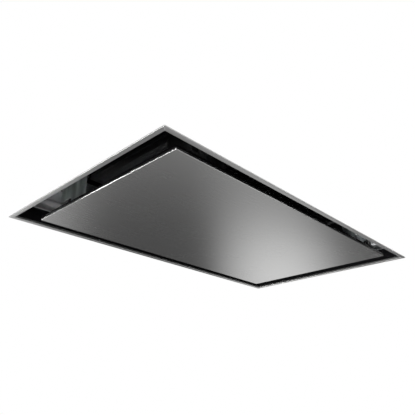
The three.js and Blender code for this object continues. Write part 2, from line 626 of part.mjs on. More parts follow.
/** The wire handle, hanging from its two blocks. */
function filterHandle() {
  const { span, drop, wire, bend, end } = HANDLE;
  const leg = span / 2 - HANDLE_BLOCK.length / 2 - end;
  const path = new THREE.CurvePath();
  const at = (x, z) => new THREE.Vector3(x, 0, z);
  const straight = (from, to) => path.add(new THREE.LineCurve3(from, to));
  const bent = (from, corner, to) => path.add(new THREE.QuadraticBezierCurve3(from, corner, to));
  straight(at(-span / 2 - end, 0), at(-leg - end, 0));
  bent(at(-leg - end, 0), at(-leg, 0), at(-leg, -bend));
  straight(at(-leg, -bend), at(-leg, bend - drop));
  bent(at(-leg, bend - drop), at(-leg, -drop), at(bend - leg, -drop));
  straight(at(bend - leg, -drop), at(leg - bend, -drop));
  bent(at(leg - bend, -drop), at(leg, -drop), at(leg, bend - drop));
  straight(at(leg, bend - drop), at(leg, -bend));
  bent(at(leg, -bend), at(leg, 0), at(leg + end, 0));
  straight(at(leg + end, 0), at(span / 2 + end, 0));
  const section = new THREE.Shape().absarc(0, 0, wire, 0, 2 * Math.PI);
  const options = { steps: HANDLE.steps, extrudePath: path, curveSegments: 3 };
  return solid(new THREE.ExtrudeGeometry(section, options));
}

// ---------------------------------------------------------------- blower box

function blowerBox() {
  const bottom = CANOPY.top + TOUCH_GAP;
  const inner = grown(BOX, -SHEET);
  const walls = raised(ring(BOX, inner, SHEET_CORNER_RADIUS), bottom, BOX_TOP);
  const flange = raised(ring(grown(BOX, BOX.flange), inner, SHEET_CORNER_RADIUS), bottom, bottom + SHEET);
  const [wall, reach] = [BOX.length / 2, 5 * SHEET];
  const port = barAlongX(OUTLET.radius - OUTLET.wall, wall - reach, wall + reach, OUTLET.sides);
  return cut(join(walls, flange), moved(port, 0, OUTLET_Y, OUTLET_Z), collarRoom(), ...lidScrewBores());
}

/** The holes that the lid's screws pass through. */
function lidScrewBores() {
  return lidScrewPlaces().map(([x, side]) => {
    const y = side * BOX.depth / 2;
    const reach = 5 * SHEET;
    const bore = barAlongY(LID_SCREW.shank + TOUCH_GAP, y - reach, y + reach);
    return moved(bore, x, 0, BOX_TOP - LID_SCREW.drop);
  });
}

const lidScrewPlaces = () =>
  SIDES.flatMap(([, sideX]) => SIDES.map(([, sideY]) => [sideX * LID_SCREW.x, sideY]));

/** The room that the collar's flange takes from the box's own flange and the lid's rim. */
function collarRoom() {
  const radius = OUTLET.radius + OUTLET.flange + TOUCH_GAP;
  const room = barAlongX(radius, BOX.length / 2, BOX.length / 2 + 2 * BOX.flange, OUTLET.sides);
  return moved(room, 0, OUTLET_Y, OUTLET_Z);
}

function blowerLid() {
  const outer = grown(BOX, TOUCH_GAP + SHEET);
  const corner = SHEET_CORNER_RADIUS + SHEET;
  const bottom = LID_TOP - SHEET;
  const top = raised(roundRect(outer.length, outer.depth, corner), bottom, LID_TOP);
  const rim = raised(ring(outer, grown(BOX, TOUCH_GAP), corner), bottom - LID_RIM, LID_TOP);
  return cut(join(top, rim), collarRoom(), ...lidScrewBores());
}

function lidScrew(side) {
  const seat = BOX.depth / 2 + TOUCH_GAP + SHEET + TOUCH_GAP;
  const head = barAlongY(LID_SCREW.headRadius, seat, seat + LID_SCREW.headHeight, 16);
  const shank = barAlongY(LID_SCREW.shank, BOX.depth / 2 - LID_SCREW.reach, seat + LID_SCREW.headHeight / 2);
  const screw = join(head, shank);
  return side > 0 ? screw : screw.mirror([0, 1, 0]);
}

// ---------------------------------------------------------------- fan

/** Plan outline of the scroll round the fan's axle, grown outward by an offset. */
function scrollShape(offset, exitX) {
  const points = [];
  const startAngle = SCROLL.tongueAngle;
  const sweep = 270 - startAngle;
  for (let i = 0; i <= SCROLL.steps; i += 1) {
    const share = i / SCROLL.steps;
    const angle = THREE.MathUtils.degToRad(startAngle + sweep * share);
    const radius = SCROLL_START + SCROLL.growth * share + offset;
    points.push([radius * Math.cos(angle), radius * Math.sin(angle)]);
  }
  points.push([exitX, -SCROLL_END - offset]);
  points.push([exitX, TONGUE_Y + offset]);
  return outline(points);
}

/** The holes for the motor's bolts, through a sheet between two heights. */
function motorBoltHoles(z0, z1) {
  const hole = bar(MOTOR_BOLT.radius, z0 - CUT_MARGIN, z1 + CUT_MARGIN, 8);
  const reach = MOTOR_PLATE.armLength - MOTOR_BOLT.fromEnd;
  return MOTOR_BOLT.angles.map((degrees) => moved(hole, reach, 0, 0).rotate([0, 0, degrees]));
}

function scrollShell() {
  const exitX = BOX.length / 2 - SHEET - TOUCH_GAP - FAN.x;
  const outer = raised(scrollShape(SCROLL.sheet, exitX), SCROLL_BOTTOM, SCROLL_TOP);
  const roof = SCROLL_TOP - SCROLL.sheet;
  const inner = raised(scrollShape(0, exitX + CUT_MARGIN), SCROLL_BOTTOM - CUT_MARGIN, roof);
  return cut(outer, inner, ...motorBoltHoles(roof, SCROLL_TOP));
}

function blowerDeck() {
  const size = grown(BOX, -SHEET - TOUCH_GAP);
  const bottom = CANOPY.top + TOUCH_GAP;
  const plate = raised(roundRect(size.length, size.depth, SHEET_CORNER_RADIUS - SHEET), bottom, DECK_TOP);
  const mouth = bar(INLET.mouthRadius, bottom - CUT_MARGIN, DECK_TOP + CUT_MARGIN, 28);
  return cut(plate, moved(mouth, FAN.x, FAN.y, 0));
}

/** The bell-mouth that leads the air into the wheel. */
function inletRing() {
  const { flangeRadius, mouthRadius, throatRadius, sheet, rise, throat } = INLET;
  const bottom = DECK_TOP + TOUCH_GAP;
  const flare = (offset) => Array.from({ length: 5 }, (_, i) => {
    const angle = (i / 4) * (Math.PI / 2);
    const radius = mouthRadius - (mouthRadius - throatRadius - offset) * Math.sin(angle);
    return [radius, bottom + offset + (rise - offset) * (1 - Math.cos(angle))];
  });
  return turned([
    [flangeRadius, bottom],
    ...flare(0),
    [throatRadius, bottom + rise + throat],
    [throatRadius + sheet, bottom + rise + throat],
    ...flare(sheet).reverse(),
    [flangeRadius, bottom + sheet],
  ], 28);
}

/** A curved blade, drawn in plan and raised through the wheel's height. */
function blade() {
  const rimWidth = IMPELLER.radius - IMPELLER.innerRadius;
  const side = (offset) => Array.from({ length: BLADE.steps + 1 }, (_, i) => {
    const share = i / BLADE.steps;
    const radius = IMPELLER.innerRadius + BLADE_INSET + (rimWidth - 2 * BLADE_INSET) * share;
    const angle = THREE.MathUtils.degToRad(BLADE.sweep * share ** BLADE.curl) + offset / radius;
    return [radius * Math.cos(angle), radius * Math.sin(angle)];
  });
  const shape = outline([...side(-BLADE.sheet / 2), ...side(BLADE.sheet / 2).reverse()]);
  return raised(shape, IMPELLER.ring / 4, IMPELLER.height - HUB.sheet / 2);
}

/** The hole that the motor's shaft passes through, between two heights. */
const shaftBore = (z0, z1) => bar(SHAFT.radius + SHAFT.clearance, z0 - CUT_MARGIN, z1 + CUT_MARGIN);

function impeller() {
  const { radius, innerRadius, height, ring: rim } = IMPELLER;
  const hubInner = HUB.radius - HUB.wall;
  const lower = turned([[innerRadius, 0], [radius, 0], [radius, rim], [innerRadius, rim]]);
  const disc = turned([
    [hubInner, height - HUB.sheet],
    [hubInner, height - HUB.below],
    [HUB.radius, height - HUB.below],
    [HUB.radius + HUB.cone, height - HUB.sheet],
    [radius, height - HUB.sheet],
    [radius, height],
    [HUB.radius + HUB.fillet, height],
    [HUB.radius, height + HUB.above],
    [hubInner, height + HUB.above],
  ]);
  const boss = bar(hubInner + LEAST_CORNER, height - HUB.below, height + HUB.above);
  const bore = shaftBore(height - HUB.below, height + HUB.above);
  const blades = [];
  for (let i = 0; i < BLADE.count; i += 1) {
    blades.push(blade().rotate([0, 0, (360 * i) / BLADE.count]));
  }
  return cut(join(lower, disc, boss, ...blades), bore);
}

const MOTOR_BOTTOM = IMPELLER.bottom + IMPELLER.height + HUB.above + MOTOR.gapAboveHub;
const MOTOR_PLATE_TOP = SCROLL_TOP - SCROLL.sheet - TOUCH_GAP;
const MOTOR_TOP = MOTOR_PLATE_TOP - MOTOR_PLATE.sheet - TOUCH_GAP;

function motorBody() {
  const { radius, taper, taperHeight, chamfer } = MOTOR;
  const { count, depth, width, above, below } = MOTOR_FIN;
  const casing = turned([
    [0, MOTOR_BOTTOM],
    [radius - taper, MOTOR_BOTTOM],
    [radius, MOTOR_BOTTOM + taperHeight],
    [radius, MOTOR_TOP - chamfer],
    [radius - chamfer, MOTOR_TOP],
    [0, MOTOR_TOP],
  ], 24);
  const height = [MOTOR_BOTTOM + above, MOTOR_TOP - below];
  const groove = block([radius - depth, radius + CUT_MARGIN], [-width / 2, width / 2], height);
  const grooves = Array.from({ length: count }, (_, i) => groove.rotate([0, 0, (360 * i) / count]));
  return cut(casing, shaftBore(MOTOR_BOTTOM, MOTOR_BOTTOM + SHAFT.intoMotor), ...grooves);
}

function motorPlate() {
  const { armLength, armWidth, sheet, hubRadius } = MOTOR_PLATE;
  const [z0, z1] = [MOTOR_PLATE_TOP - sheet, MOTOR_PLATE_TOP];
  const arm = raised(roundRect(armLength, armWidth, armWidth / 2 - LEAST_CORNER, armLength / 2, 0), z0, z1);
  const arms = MOTOR_BOLT.angles.map((degrees) => arm.rotate([0, 0, degrees]));
  return cut(join(bar(hubRadius, z0, z1, 18), ...arms), ...motorBoltHoles(z0, z1));
}

const NUT_TOP = IMPELLER.bottom + IMPELLER.height - HUB.below - TOUCH_GAP;

function hubNut() {
  const geometry = new THREE.CylinderGeometry(NUT.radius, NUT.radius, NUT.height, 6).rotateX(Math.PI / 2);
  const nut = solid(geometry.translate(0, 0, NUT_TOP - NUT.height / 2));
  return cut(nut, shaftBore(NUT_TOP - NUT.height, NUT_TOP));
}

// ---------------------------------------------------------------- outlet

/** The collar, turned round its own axis with its flange at zero. */
function outletCollar() {
  const { radius, wall, length, flange, flangeSheet } = OUTLET;
  const { rise, fromEnd, half, crest } = OUTLET_BEAD;
  const inner = radius - wall;
  const beadAt = length - fromEnd;
  const tube = turned([
    [inner, 0],
    [radius + flange, 0],
    [radius + flange, flangeSheet],
    [radius, flangeSheet],
    [radius, beadAt - half],
    [radius + rise, beadAt - crest],
    [radius + rise, beadAt + crest],
    [radius, beadAt + half],
    [radius, length],
    [inner, length],
  ], OUTLET.sides);
  return tube.rotate([0, 90, 0]);
}

/** Half of the backdraft flap: a half disc with its knuckles on the pin, for the +Y side. */
function outletFlap(first) {
  const reach = OUTLET.radius - OUTLET.wall - FLAP.clearance;
  const shape = new THREE.Shape();
  const start = Math.asin(FLAP.knuckle / reach);
  shape.absarc(0, 0, reach, start, Math.PI - start);
  shape.closePath();
  const sheet = raised(shape, -FLAP.sheet / 2, FLAP.sheet / 2, 10);
  const { count, fromRim, gap, room } = FLAP_KNUCKLES;
  const pitch = (2 * (reach - fromRim)) / count;
  const knuckles = [];
  const notches = [];
  for (let i = 0; i < count; i += 1) {
    const x0 = fromRim - reach + i * pitch;
    const ends = [x0 + gap, x0 + pitch - gap];
    const web = block(ends, [0, 1.5 * FLAP.knuckle], [-FLAP.sheet / 2, FLAP.sheet / 2]);
    if (i % 2 === first) knuckles.push(barAlongX(FLAP.knuckle, ...ends, 10), web);
    else notches.push(barAlongX(FLAP.knuckle + room, x0, x0 + pitch, 10));
  }
  const bore = barAlongX(FLAP.pinRadius + TOUCH_GAP, -2 * reach, 2 * reach, 10);
  const half = cut(join(sheet, ...knuckles), bore, ...notches);
  // from flat in X and Y to upright in Y and Z, with the pin along Z
  return half.rotate([0, 90, 0]);
}

// ---------------------------------------------------------------- electronics box

function electronicsBox() {
  const { depth, height, wall, corner } = ELECTRONICS;
  const length = ELECTRONICS_LENGTH;
  const outer = raised(roundRect(length, depth, corner), 0, height);
  const room = roundRect(length - 2 * wall, depth - 2 * wall, corner - wall);
  const inner = raised(room, wall, height + CUT_MARGIN);
  const glandHole = barAlongY(GLAND.radius + TOUCH_GAP, depth / 2 - 2 * wall, depth / 2 + CUT_MARGIN, 18);
  return cut(outer, inner, moved(glandHole, GLAND_X, 0, height / 2));
}

function electronicsCover() {
  const { depth, height, wall, corner } = ELECTRONICS;
  const length = ELECTRONICS_LENGTH;
  const { sheet, spigot, spigotWall } = ELECTRONICS_LID;
  const bottom = height + TOUCH_GAP;
  const top = raised(roundRect(length, depth, corner), bottom, bottom + sheet);
  const size = grown({ length, depth }, -wall - TOUCH_GAP);
  const rim = ring(size, grown(size, -spigotWall), corner - wall);
  return join(top, raised(rim, bottom - spigot, bottom + sheet / 2));
}

function cableGland() {
  const { radius, nut, nutHeight, length, bore, inside } = GLAND;
  const face = ELECTRONICS.depth / 2 + TOUCH_GAP;
  const hex = new THREE.CylinderGeometry(nut, nut, nutHeight, 6).translate(0, face + nutHeight / 2, 0);
  const barrel = barAlongY(radius, face - ELECTRONICS.wall - inside, face + length, 18);
  const through = barAlongY(bore, face - 2 * length, face + 2 * length, 14);
  return cut(join(solid(hex), barrel), through);
}

// ---------------------------------------------------------------- hangers

/** A folded bracket: foot on the canopy, upright, and a slotted top leaf turned outward. */
function hanger() {
  const { width, foot, height, top, sheet, bend } = HANGER;
  const rise = CANOPY.top + TOUCH_GAP;
  const profile = new THREE.Shape();
  profile.moveTo(0, 0);
  profile.lineTo(foot - bend, 0);
  profile.absarc(foot - bend, bend, bend, -Math.PI / 2, 0);
  profile.lineTo(foot, height - bend);
  profile.absarc(foot + bend - sheet, height - bend, bend - sheet, Math.PI, Math.PI / 2, true);
  profile.lineTo(foot + top, height - sheet);
  profile.lineTo(foot + top, height);
  profile.lineTo(foot + bend - sheet, height);
  profile.absarc(foot + bend - sheet, height - bend, bend, Math.PI / 2, Math.PI);
  profile.lineTo(foot - sheet, bend);
  profile.absarc(foot - bend, bend, bend - sheet, 0, -Math.PI / 2, true);
  profile.lineTo(0, sheet);
  profile.closePath();
  const body = moved(runAlongX(profile, -width / 2, width / 2, 1), 0, 0, rise);
  const opening = slotShape(HANGER_SLOT.radius, HANGER_SLOT.length);
  const slot = raised(opening, rise + height - 2 * sheet, rise + height + CUT_MARGIN, 3);
  const hole = bar(HANGER_HOLE.radius, rise - CUT_MARGIN, rise + sheet + CUT_MARGIN, 8);
  const { apart, inward } = HANGER_HOLE;
  const holes = SIDES.map(([, side]) => moved(hole, (side * apart) / 2, foot / 2 - inward, 0));
  return cut(body, moved(slot, 0, foot + top / 2 + HANGER_SLOT.outward, 0), ...holes);
}

// ---------------------------------------------------------------- assembly

add(hood, 'trim_frame', trimFrame(), 'brushedSteel');
add(hood, 'ceiling_seal', ceilingSeal(), 'blackPlastic');
add(hood, 'mounting_frame', mountingFrame(), 'blackSteel');
add(hood, 'canopy_shell', canopyShell(), 'zincSteel');
add(hood, 'filter_plate', filterPlate(), 'blackSteel');

for (const [name, signX, signY] of CORNERS) {
  add(place(0, 0, 0, signX, signY), `corner_bracket_${name}`, cornerBracket(), 'polishedSteel');
  add(place(signX * HANGER_X, signY * HANGER_START_Y, 0, 1, signY), `hanger_${name}`, hanger(), 'zincSteel');
}

for (const [name, side] of SIDES) {
  const rear = place(side * POST_X, POST_Y, 0, side, 1);
  add(rear, `hinge_post_${name}`, hingePost(), 'blackPlastic');
  add(rear, `hinge_leaf_${name}`, hingeLeaf(), 'blackPlastic');
  add(rear, `hinge_pin_${name}`, hingePin(), 'polishedSteel');
  const front = place(side * POST_X, -POST_Y, 0, side, -1);
  add(front, `catch_post_${name}`, catchPost(), 'blackPlastic');
  add(front, `catch_strike_${name}`, catchStrike(), 'blackPlastic');

  const filter = place(side * FILTER_SPACING / 2, 0, FILTER_BOTTOM);
  add(filter, `filter_frame_${name}`, join(filterFrame(), ...handleBlocks()), 'aluminium');
  add(filter, `filter_core_${name}`, filterCore(), 'aluminium');
  const handle = place(side * FILTER_SPACING / 2, HANDLE_Y, FILTER_BOTTOM - HANDLE_BLOCK.bore);
  add(handle, `filter_handle_${name}`, filterHandle(), 'polishedSteel');
}

add(hood, 'panel_face', panelFace(), 'satinSteel');
add(hood, 'panel_backing', panelBacking(), 'blackSteel');

add(hood, 'blower_box', blowerBox(), 'zincSteel');
add(hood, 'blower_lid', blowerLid(), 'zincSteel');
lidScrewPlaces().forEach(([x, side], i) => {
  add(place(x, 0, BOX_TOP - LID_SCREW.drop), `lid_screw_${i + 1}`, lidScrew(side), 'zincSteel');
});
add(hood, 'blower_deck', blowerDeck(), 'zincSteel');

const fan = place(FAN.x, FAN.y, 0);
add(fan, 'scroll_shell', scrollShell(), 'blackPlastic');
add(fan, 'inlet_ring', inletRing(), 'blackPlastic');
add(fan, 'impeller', moved(impeller(), 0, 0, IMPELLER.bottom), 'whitePlastic');
const shaftEnd = NUT_TOP - NUT.height - SHAFT.belowNut;
add(fan, 'motor_shaft', bar(SHAFT.radius, shaftEnd, MOTOR_BOTTOM + SHAFT.intoMotor), 'polishedSteel');
add(fan, 'hub_nut', hubNut(), 'polishedSteel');
add(fan, 'motor_body', motorBody(), 'motorGrey');
add(fan, 'motor_plate', motorPlate(), 'zincSteel');

const outlet = place(BOX.length / 2 + TOUCH_GAP, OUTLET_Y, OUTLET_Z);
add(outlet, 'outlet_collar', outletCollar(), 'blackPlastic');
const flaps = place(BOX.length / 2 + TOUCH_GAP + FLAP.pinOffset, OUTLET_Y, OUTLET_Z);
const pinReach = OUTLET.radius - OUTLET.wall - TOUCH_GAP;
add(flaps, 'flap_pin', bar(FLAP.pinRadius, -pinReach, pinReach), 'polishedSteel');
add(flaps, 'flap_rear', outletFlap(0), 'aluminium');
add(flaps, 'flap_front', outletFlap(1).mirror([0, 1, 0]), 'aluminium');

const electronics = place(ELECTRONICS_X, ELECTRONICS.y, CANOPY.top + TOUCH_GAP);
add(electronics, 'electronics_box', electronicsBox(), 'whitePlastic');
add(electronics, 'electronics_cover', electronicsCover(), 'whitePlastic');
add(electronics, 'cable_gland', moved(cableGland(), GLAND_X, 0, ELECTRONICS.height / 2), 'blackPlastic');

export default hood;
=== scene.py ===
"""Looks, stage, light and camera of a ceiling range hood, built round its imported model.

Everything is in metres, +Z up into the ceiling, with the origin at the centre of the trim's
underside. Each class stands for one sub-assembly: it dresses the solids that keep their shape,
and builds the pieces whose rounds, folds or mesh are finer than the solids.
"""

import json
import logging
import math
from dataclasses import dataclass
from enum import Enum
from typing import Callable, Iterable, Sequence

import bmesh
import bpy
from bmesh.types import BMEdge, BMesh, BMFace, BMVert
from bpy.types import ID, Material, Mesh, Node, NodeSocket, NodeTree, Object
from mathutils import Matrix, Vector

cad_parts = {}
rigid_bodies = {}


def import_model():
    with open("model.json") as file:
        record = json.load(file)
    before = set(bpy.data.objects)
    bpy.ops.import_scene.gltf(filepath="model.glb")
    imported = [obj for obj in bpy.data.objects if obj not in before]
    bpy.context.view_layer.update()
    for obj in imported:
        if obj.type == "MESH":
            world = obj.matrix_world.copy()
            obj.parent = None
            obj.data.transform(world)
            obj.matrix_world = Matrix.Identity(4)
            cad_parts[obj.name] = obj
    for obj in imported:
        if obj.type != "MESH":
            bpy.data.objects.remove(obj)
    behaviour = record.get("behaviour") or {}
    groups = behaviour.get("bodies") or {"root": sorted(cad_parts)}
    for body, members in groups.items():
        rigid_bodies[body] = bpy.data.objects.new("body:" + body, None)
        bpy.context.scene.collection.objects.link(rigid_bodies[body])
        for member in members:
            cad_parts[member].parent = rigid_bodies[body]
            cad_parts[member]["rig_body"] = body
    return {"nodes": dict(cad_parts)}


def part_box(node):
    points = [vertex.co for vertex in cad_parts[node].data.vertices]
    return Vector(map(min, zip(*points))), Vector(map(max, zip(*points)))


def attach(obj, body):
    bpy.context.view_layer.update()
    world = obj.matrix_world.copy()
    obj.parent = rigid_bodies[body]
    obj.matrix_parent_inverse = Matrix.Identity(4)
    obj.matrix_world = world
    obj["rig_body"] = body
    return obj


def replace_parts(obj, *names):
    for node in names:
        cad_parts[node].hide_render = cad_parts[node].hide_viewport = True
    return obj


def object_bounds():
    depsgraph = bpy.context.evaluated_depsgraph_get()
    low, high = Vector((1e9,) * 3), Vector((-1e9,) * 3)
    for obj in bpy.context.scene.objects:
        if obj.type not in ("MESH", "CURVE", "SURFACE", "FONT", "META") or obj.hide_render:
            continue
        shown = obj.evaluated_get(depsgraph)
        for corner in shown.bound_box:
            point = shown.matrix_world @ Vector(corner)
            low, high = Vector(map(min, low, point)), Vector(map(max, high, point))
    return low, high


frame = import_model()
CAD_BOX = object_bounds()
Pair = tuple[float, float]
Triple = tuple[float, float, float]
Seat = tuple[Vector, Vector]  # A fastener's place, and the way that its head faces.
LOG = logging.getLogger("range_hood")

MM = 0.001
NEAR = 1e-6  # Metres within which two places count as one.
FLAT = math.radians(0.5)  # Faces that meet at less count as one plane.
SHARP = math.radians(40)  # Faces that meet at more have a sharp edge between them.
TRIM_FACE = 10 * MM
SIDES = (("left", -1), ("right", 1))
CORNERS = (("left_front", -1, -1), ("right_front", 1, -1), ("left_rear", -1, 1), ("right_rear", 1, 1))
X_AXIS, Y_AXIS, Z_AXIS = Vector((1, 0, 0)), Vector((0, 1, 0)), Vector((0, 0, 1))


# ---- shader maths


def _math(operation: str, swapped: bool = False) -> "Callable[..., Signal]":
    """Makes a method of a signal that adds a Math node.

    Args:
        operation: The node's operation.
        swapped: Whether the signal comes after the other values, and not before them.

    Returns:
        The method.
    """

    def method(signal: "Signal", *others: "Signal | float") -> "Signal":
        """The node's result."""
        values = (*others, signal) if swapped else (signal, *others)
        return signal.graph.add("Math", {"operation": operation}, dict(enumerate(values)))["Value"]

    return method


@dataclass(frozen=True)
class Signal:
    """A value in a node tree; Python's operators add the Math nodes that work on it."""

    graph: "Graph"
    socket: NodeSocket

    __add__ = _math("ADD")
    __sub__ = _math("SUBTRACT")
    __rsub__ = _math("SUBTRACT", swapped=True)
    __mul__ = _math("MULTIPLY")
    __truediv__ = _math("DIVIDE")
    __pow__ = _math("POWER")
    __gt__ = _math("GREATER_THAN")
    __lt__ = _math("LESS_THAN")
    __abs__ = _math("ABSOLUTE")
    at_least = _math("MAXIMUM")
    at_most = _math("MINIMUM")

    def blend(self, other: "Signal", share: float) -> "Signal":
        """A share of this, and another signal for the rest."""
        return self * share + other * (1 - share)


@dataclass(frozen=True)
class Outputs:
    """The output sockets of one node, by name or number."""

    graph: "Graph"
    node: Node

    def __getitem__(self, key: "str | int") -> Signal:
        """One output as a signal."""
        return Signal(self.graph, self.node.outputs[key])


class Graph:
    """The node tree of a material or of the world, emptied and built from nothing."""

    def __init__(self, tree: NodeTree) -> None:
        """Empties the tree."""
        self.tree = tree
        tree.nodes.clear()

    def add(self, kind: str, settings: dict | None = None, inputs: dict | None = None) -> Outputs:
        """Adds one node.

        Args:
            kind: The node's type, without the word ShaderNode in front.
            settings: Its properties, set first.
            inputs: Values, or signals to link, by socket name or number.

        Returns:
            The node's outputs.
        """
        node = self.tree.nodes.new(f"ShaderNode{kind}")
        for name, value in (settings or {}).items():
            setattr(node, name, value)
        for key, value in (inputs or {}).items():
            if isinstance(value, Signal):
                self.tree.links.new(value.socket, node.inputs[key])
            else:
                node.inputs[key].default_value = value
        return Outputs(self, node)

    def vector(self, operation: str, *values: "Signal | Sequence[float]") -> Outputs:
        """Adds a Vector Math node, whose sockets the values fill in order."""
        return self.add("VectorMath", {"operation": operation}, dict(enumerate(values)))

    def place(self) -> Signal:
        """Object coordinates, in metres, because every piece's object sits at the origin."""
        return self.add("TexCoord")["Object"]

    def axes(self, vector: Signal) -> tuple[Signal, Signal, Signal]:
        """The three parts of a vector."""
        parts = self.add("SeparateXYZ", inputs={0: vector})
        return parts["X"], parts["Y"], parts["Z"]

    def noise(self, scale: "float | Sequence[float]", detail: float = 2.0, soft: float = 0.5) -> Signal:
        """Adds noise over the piece.

        Args:
            scale: Features a metre, as one number or one for each axis.
            detail: How many times finer noise is laid over it.
            soft: How strong each finer noise is beside the one before.

        Returns:
            The noise, from 0 to 1.
        """
        each = (scale,) * 3 if isinstance(scale, float) else scale
        place = self.vector("MULTIPLY", self.place(), each)["Vector"]
        inputs = {"Vector": place, "Scale": 1.0, "Detail": detail, "Roughness": soft}
        return self.add("TexNoise", inputs=inputs)["Fac"]

    def mix(self, factor: Signal, first: Sequence[float], second: Sequence[float]) -> Signal:
        """A colour between two colours, by the Mix node's colour sockets."""
        inputs = {0: factor, 6: _rgba(first), 7: _rgba(second)}
        return self.add("Mix", {"data_type": "RGBA"}, inputs)[2]

    def bump(self, height: Signal, distance: float, strength: float = 1.0) -> Signal:
        """Normals of a surface raised by a height from 0 to 1 times a distance in metres."""
        inputs = {"Strength": strength, "Distance": distance, "Height": height}
        return self.add("Bump", inputs=inputs)["Normal"]


def _rgba(color: Sequence[float]) -> tuple[float, ...]:
    """A colour with its alpha."""
    return (*color, 1.0)


# ---- finishes


class Grain(Enum):
    """Which way a sheet was ground."""

    ALONG_X = "along the long side"
    ROUND_FRAME = "along each side of a mitred frame"


@dataclass(frozen=True)
class Finish:
    """A surface finish. Each kind adds what varies over the surface.

    Attributes:
        name: Name of the material.
        slot: The record's material slot.
        color: Base colour, linear.
        roughness: Mean roughness.
        metallic: 1 for bare metal, 0 for plastic.
        contrast: Share by which the surface's pattern darkens and lightens the colour.
        gloss: Specular level, 0.5 for a common surface and less for a deep matt one.
    """

    name: str
    slot: str
    color: Triple
    roughness: float
    metallic: float = 1.0
    contrast: float = 0.05
    gloss: float = 0.5

    def varied(self, graph: Graph) -> dict:
        """The shader's inputs that vary over the surface, by socket name."""
        return {}

    def material(self) -> Material:
        """Makes the finish's material the first time, and finds it later.

        Returns:
            The material.
        """
        found = bpy.data.materials.get(self.name)
        if found:
            return found
        material = bpy.data.materials.new(self.name)
        material.use_nodes = True
        graph = Graph(material.node_tree)
        inputs = {"Metallic": self.metallic, "Specular IOR Level": self.gloss, **self.varied(graph)}
        shader = graph.add("BsdfPrincipled", inputs=inputs)
        graph.add("OutputMaterial", inputs={"Surface": shader["BSDF"]})
        return material

    def shade(self, graph: Graph, pattern: Signal) -> Signal:
        """Darkens and lightens the base colour.

        Args:
            graph: The material's graph.
            pattern: Where the colour is darkest, at 0, and lightest, at 1.

        Returns:
            The colour.
        """
        dark = tuple(part * (1 - self.contrast) for part in self.color)
        light = tuple(min(part * (1 + self.contrast), 1.0) for part in self.color)
        return graph.mix(pattern, dark, light)

    def sheen(self, *parts: tuple[Signal, float]) -> Signal:
        """Varies the roughness round its mean.

        Args:
            parts: Signals from 0 to 1, each with the range of roughness that it spans.

        Returns:
            The roughness.
        """
        total, *rest = (signal * span for signal, span in parts)
        for part in rest:
            total = total + part
        return total + (self.roughness - sum(span for _, span in parts) / 2)


@dataclass(frozen=True)
class BrushedSteel(Finish):
    """Ground stainless sheet: long fine scratches that follow the grain.

    Attributes:
        grain: Which way the scratches run.
        scratch: Depth of the scratches, in metres.
        fine: Scratches a metre, along the grain and across it.
        wide: Faint bands a metre, along the grain and across it.
        fine_share: How much of the pattern the scratches make up, beside the bands.
        half_size: Half the length and depth of a mitred frame's opening, in metres.
        mitre: Half the width of the joint line at a frame's corners, in metres.
        mitre_loss: How much less metallic that line is.
    """

    grain: Grain = Grain.ALONG_X
    scratch: float = 0.0000008
    fine: Pair = (14.0, 2600.0)
    wide: Pair = (2.0, 420.0)
    fine_share: float = 0.85
    half_size: Pair = (0.0, 0.0)
    mitre: float = 0.00035
    mitre_loss: float = 0.7

    def streaks(self, graph: Graph, along_y: bool) -> Signal:
        """Draws the scratches and bands in one direction.

        Args:
            graph: The material's graph.
            along_y: Whether they run along Y, and not along X.

        Returns:
            The pattern, from 0 to 1.
        """
        fine, wide = (
            (across, along, across) if along_y else (along, across, across)
            for along, across in (self.fine, self.wide)
        )
        return graph.noise(fine, 3.0, 0.6).blend(graph.noise(wide), self.fine_share)

    def varied(self, graph: Graph) -> dict:
        """Colour, roughness and scratches.

        Args:
            graph: The material's graph.

        Returns:
            The shader's inputs.
        """
        inputs = {}
        if self.grain is Grain.ROUND_FRAME:
            x, y, _ = graph.axes(graph.place())
            lead = (abs(x) - self.half_size[0]) - (abs(y) - self.half_size[1])
            on_end = lead > 0.0
            streak = self.streaks(graph, True) * on_end + self.streaks(graph, False) * (1 - on_end)
            inputs["Metallic"] = 1 - (abs(lead) < self.mitre) * self.mitre_loss
        else:
            streak = self.streaks(graph, False)
        cloud = graph.noise(9.0, 3.0)
        inputs["Base Color"] = self.shade(graph, streak.blend(cloud, 0.7))
        inputs["Roughness"] = self.sheen((streak, 0.03), (cloud, 0.02))
        inputs["Normal"] = graph.bump(streak, self.scratch)
        return inputs


@dataclass(frozen=True)
class RolledSteel(Finish):
    """Bright rolled sheet or wire, with upright draw marks and a few smudges; at a strong contrast they
    also paint upright bands and blotches of reflection into the colour.

    Attributes:
        ripple: Height of the sheet's waves, in metres.
        mark_and_reflection_gain: How much stronger than the waves the draw marks and the painted reflection
            bands are.
    """

    ripple: float = 0.0002
    mark_and_reflection_gain: float = 2.4

    def varied(self, graph: Graph) -> dict:
        """Draw marks and painted reflections, roughness and waviness.

        Args:
            graph: The material's graph.

        Returns:
            The shader's inputs.
        """
        smudge_and_reflection = graph.noise(26.0, 4.0, 0.6)
        wave = graph.noise((34.0, 34.0, 5.0))
        # Upright marks and smudges in the colour: real draw marks, and at a strong contrast painted
        # reflections of light and dark.
        marks = ((wave - 0.5) * self.mark_and_reflection_gain + 0.5).at_least(0.0)
        return {
            "Base Color": self.shade(graph, marks.blend(smudge_and_reflection, 0.7)),
            "Roughness": self.sheen((smudge_and_reflection, 0.12)),
            "Normal": graph.bump(wave, self.ripple),
        }


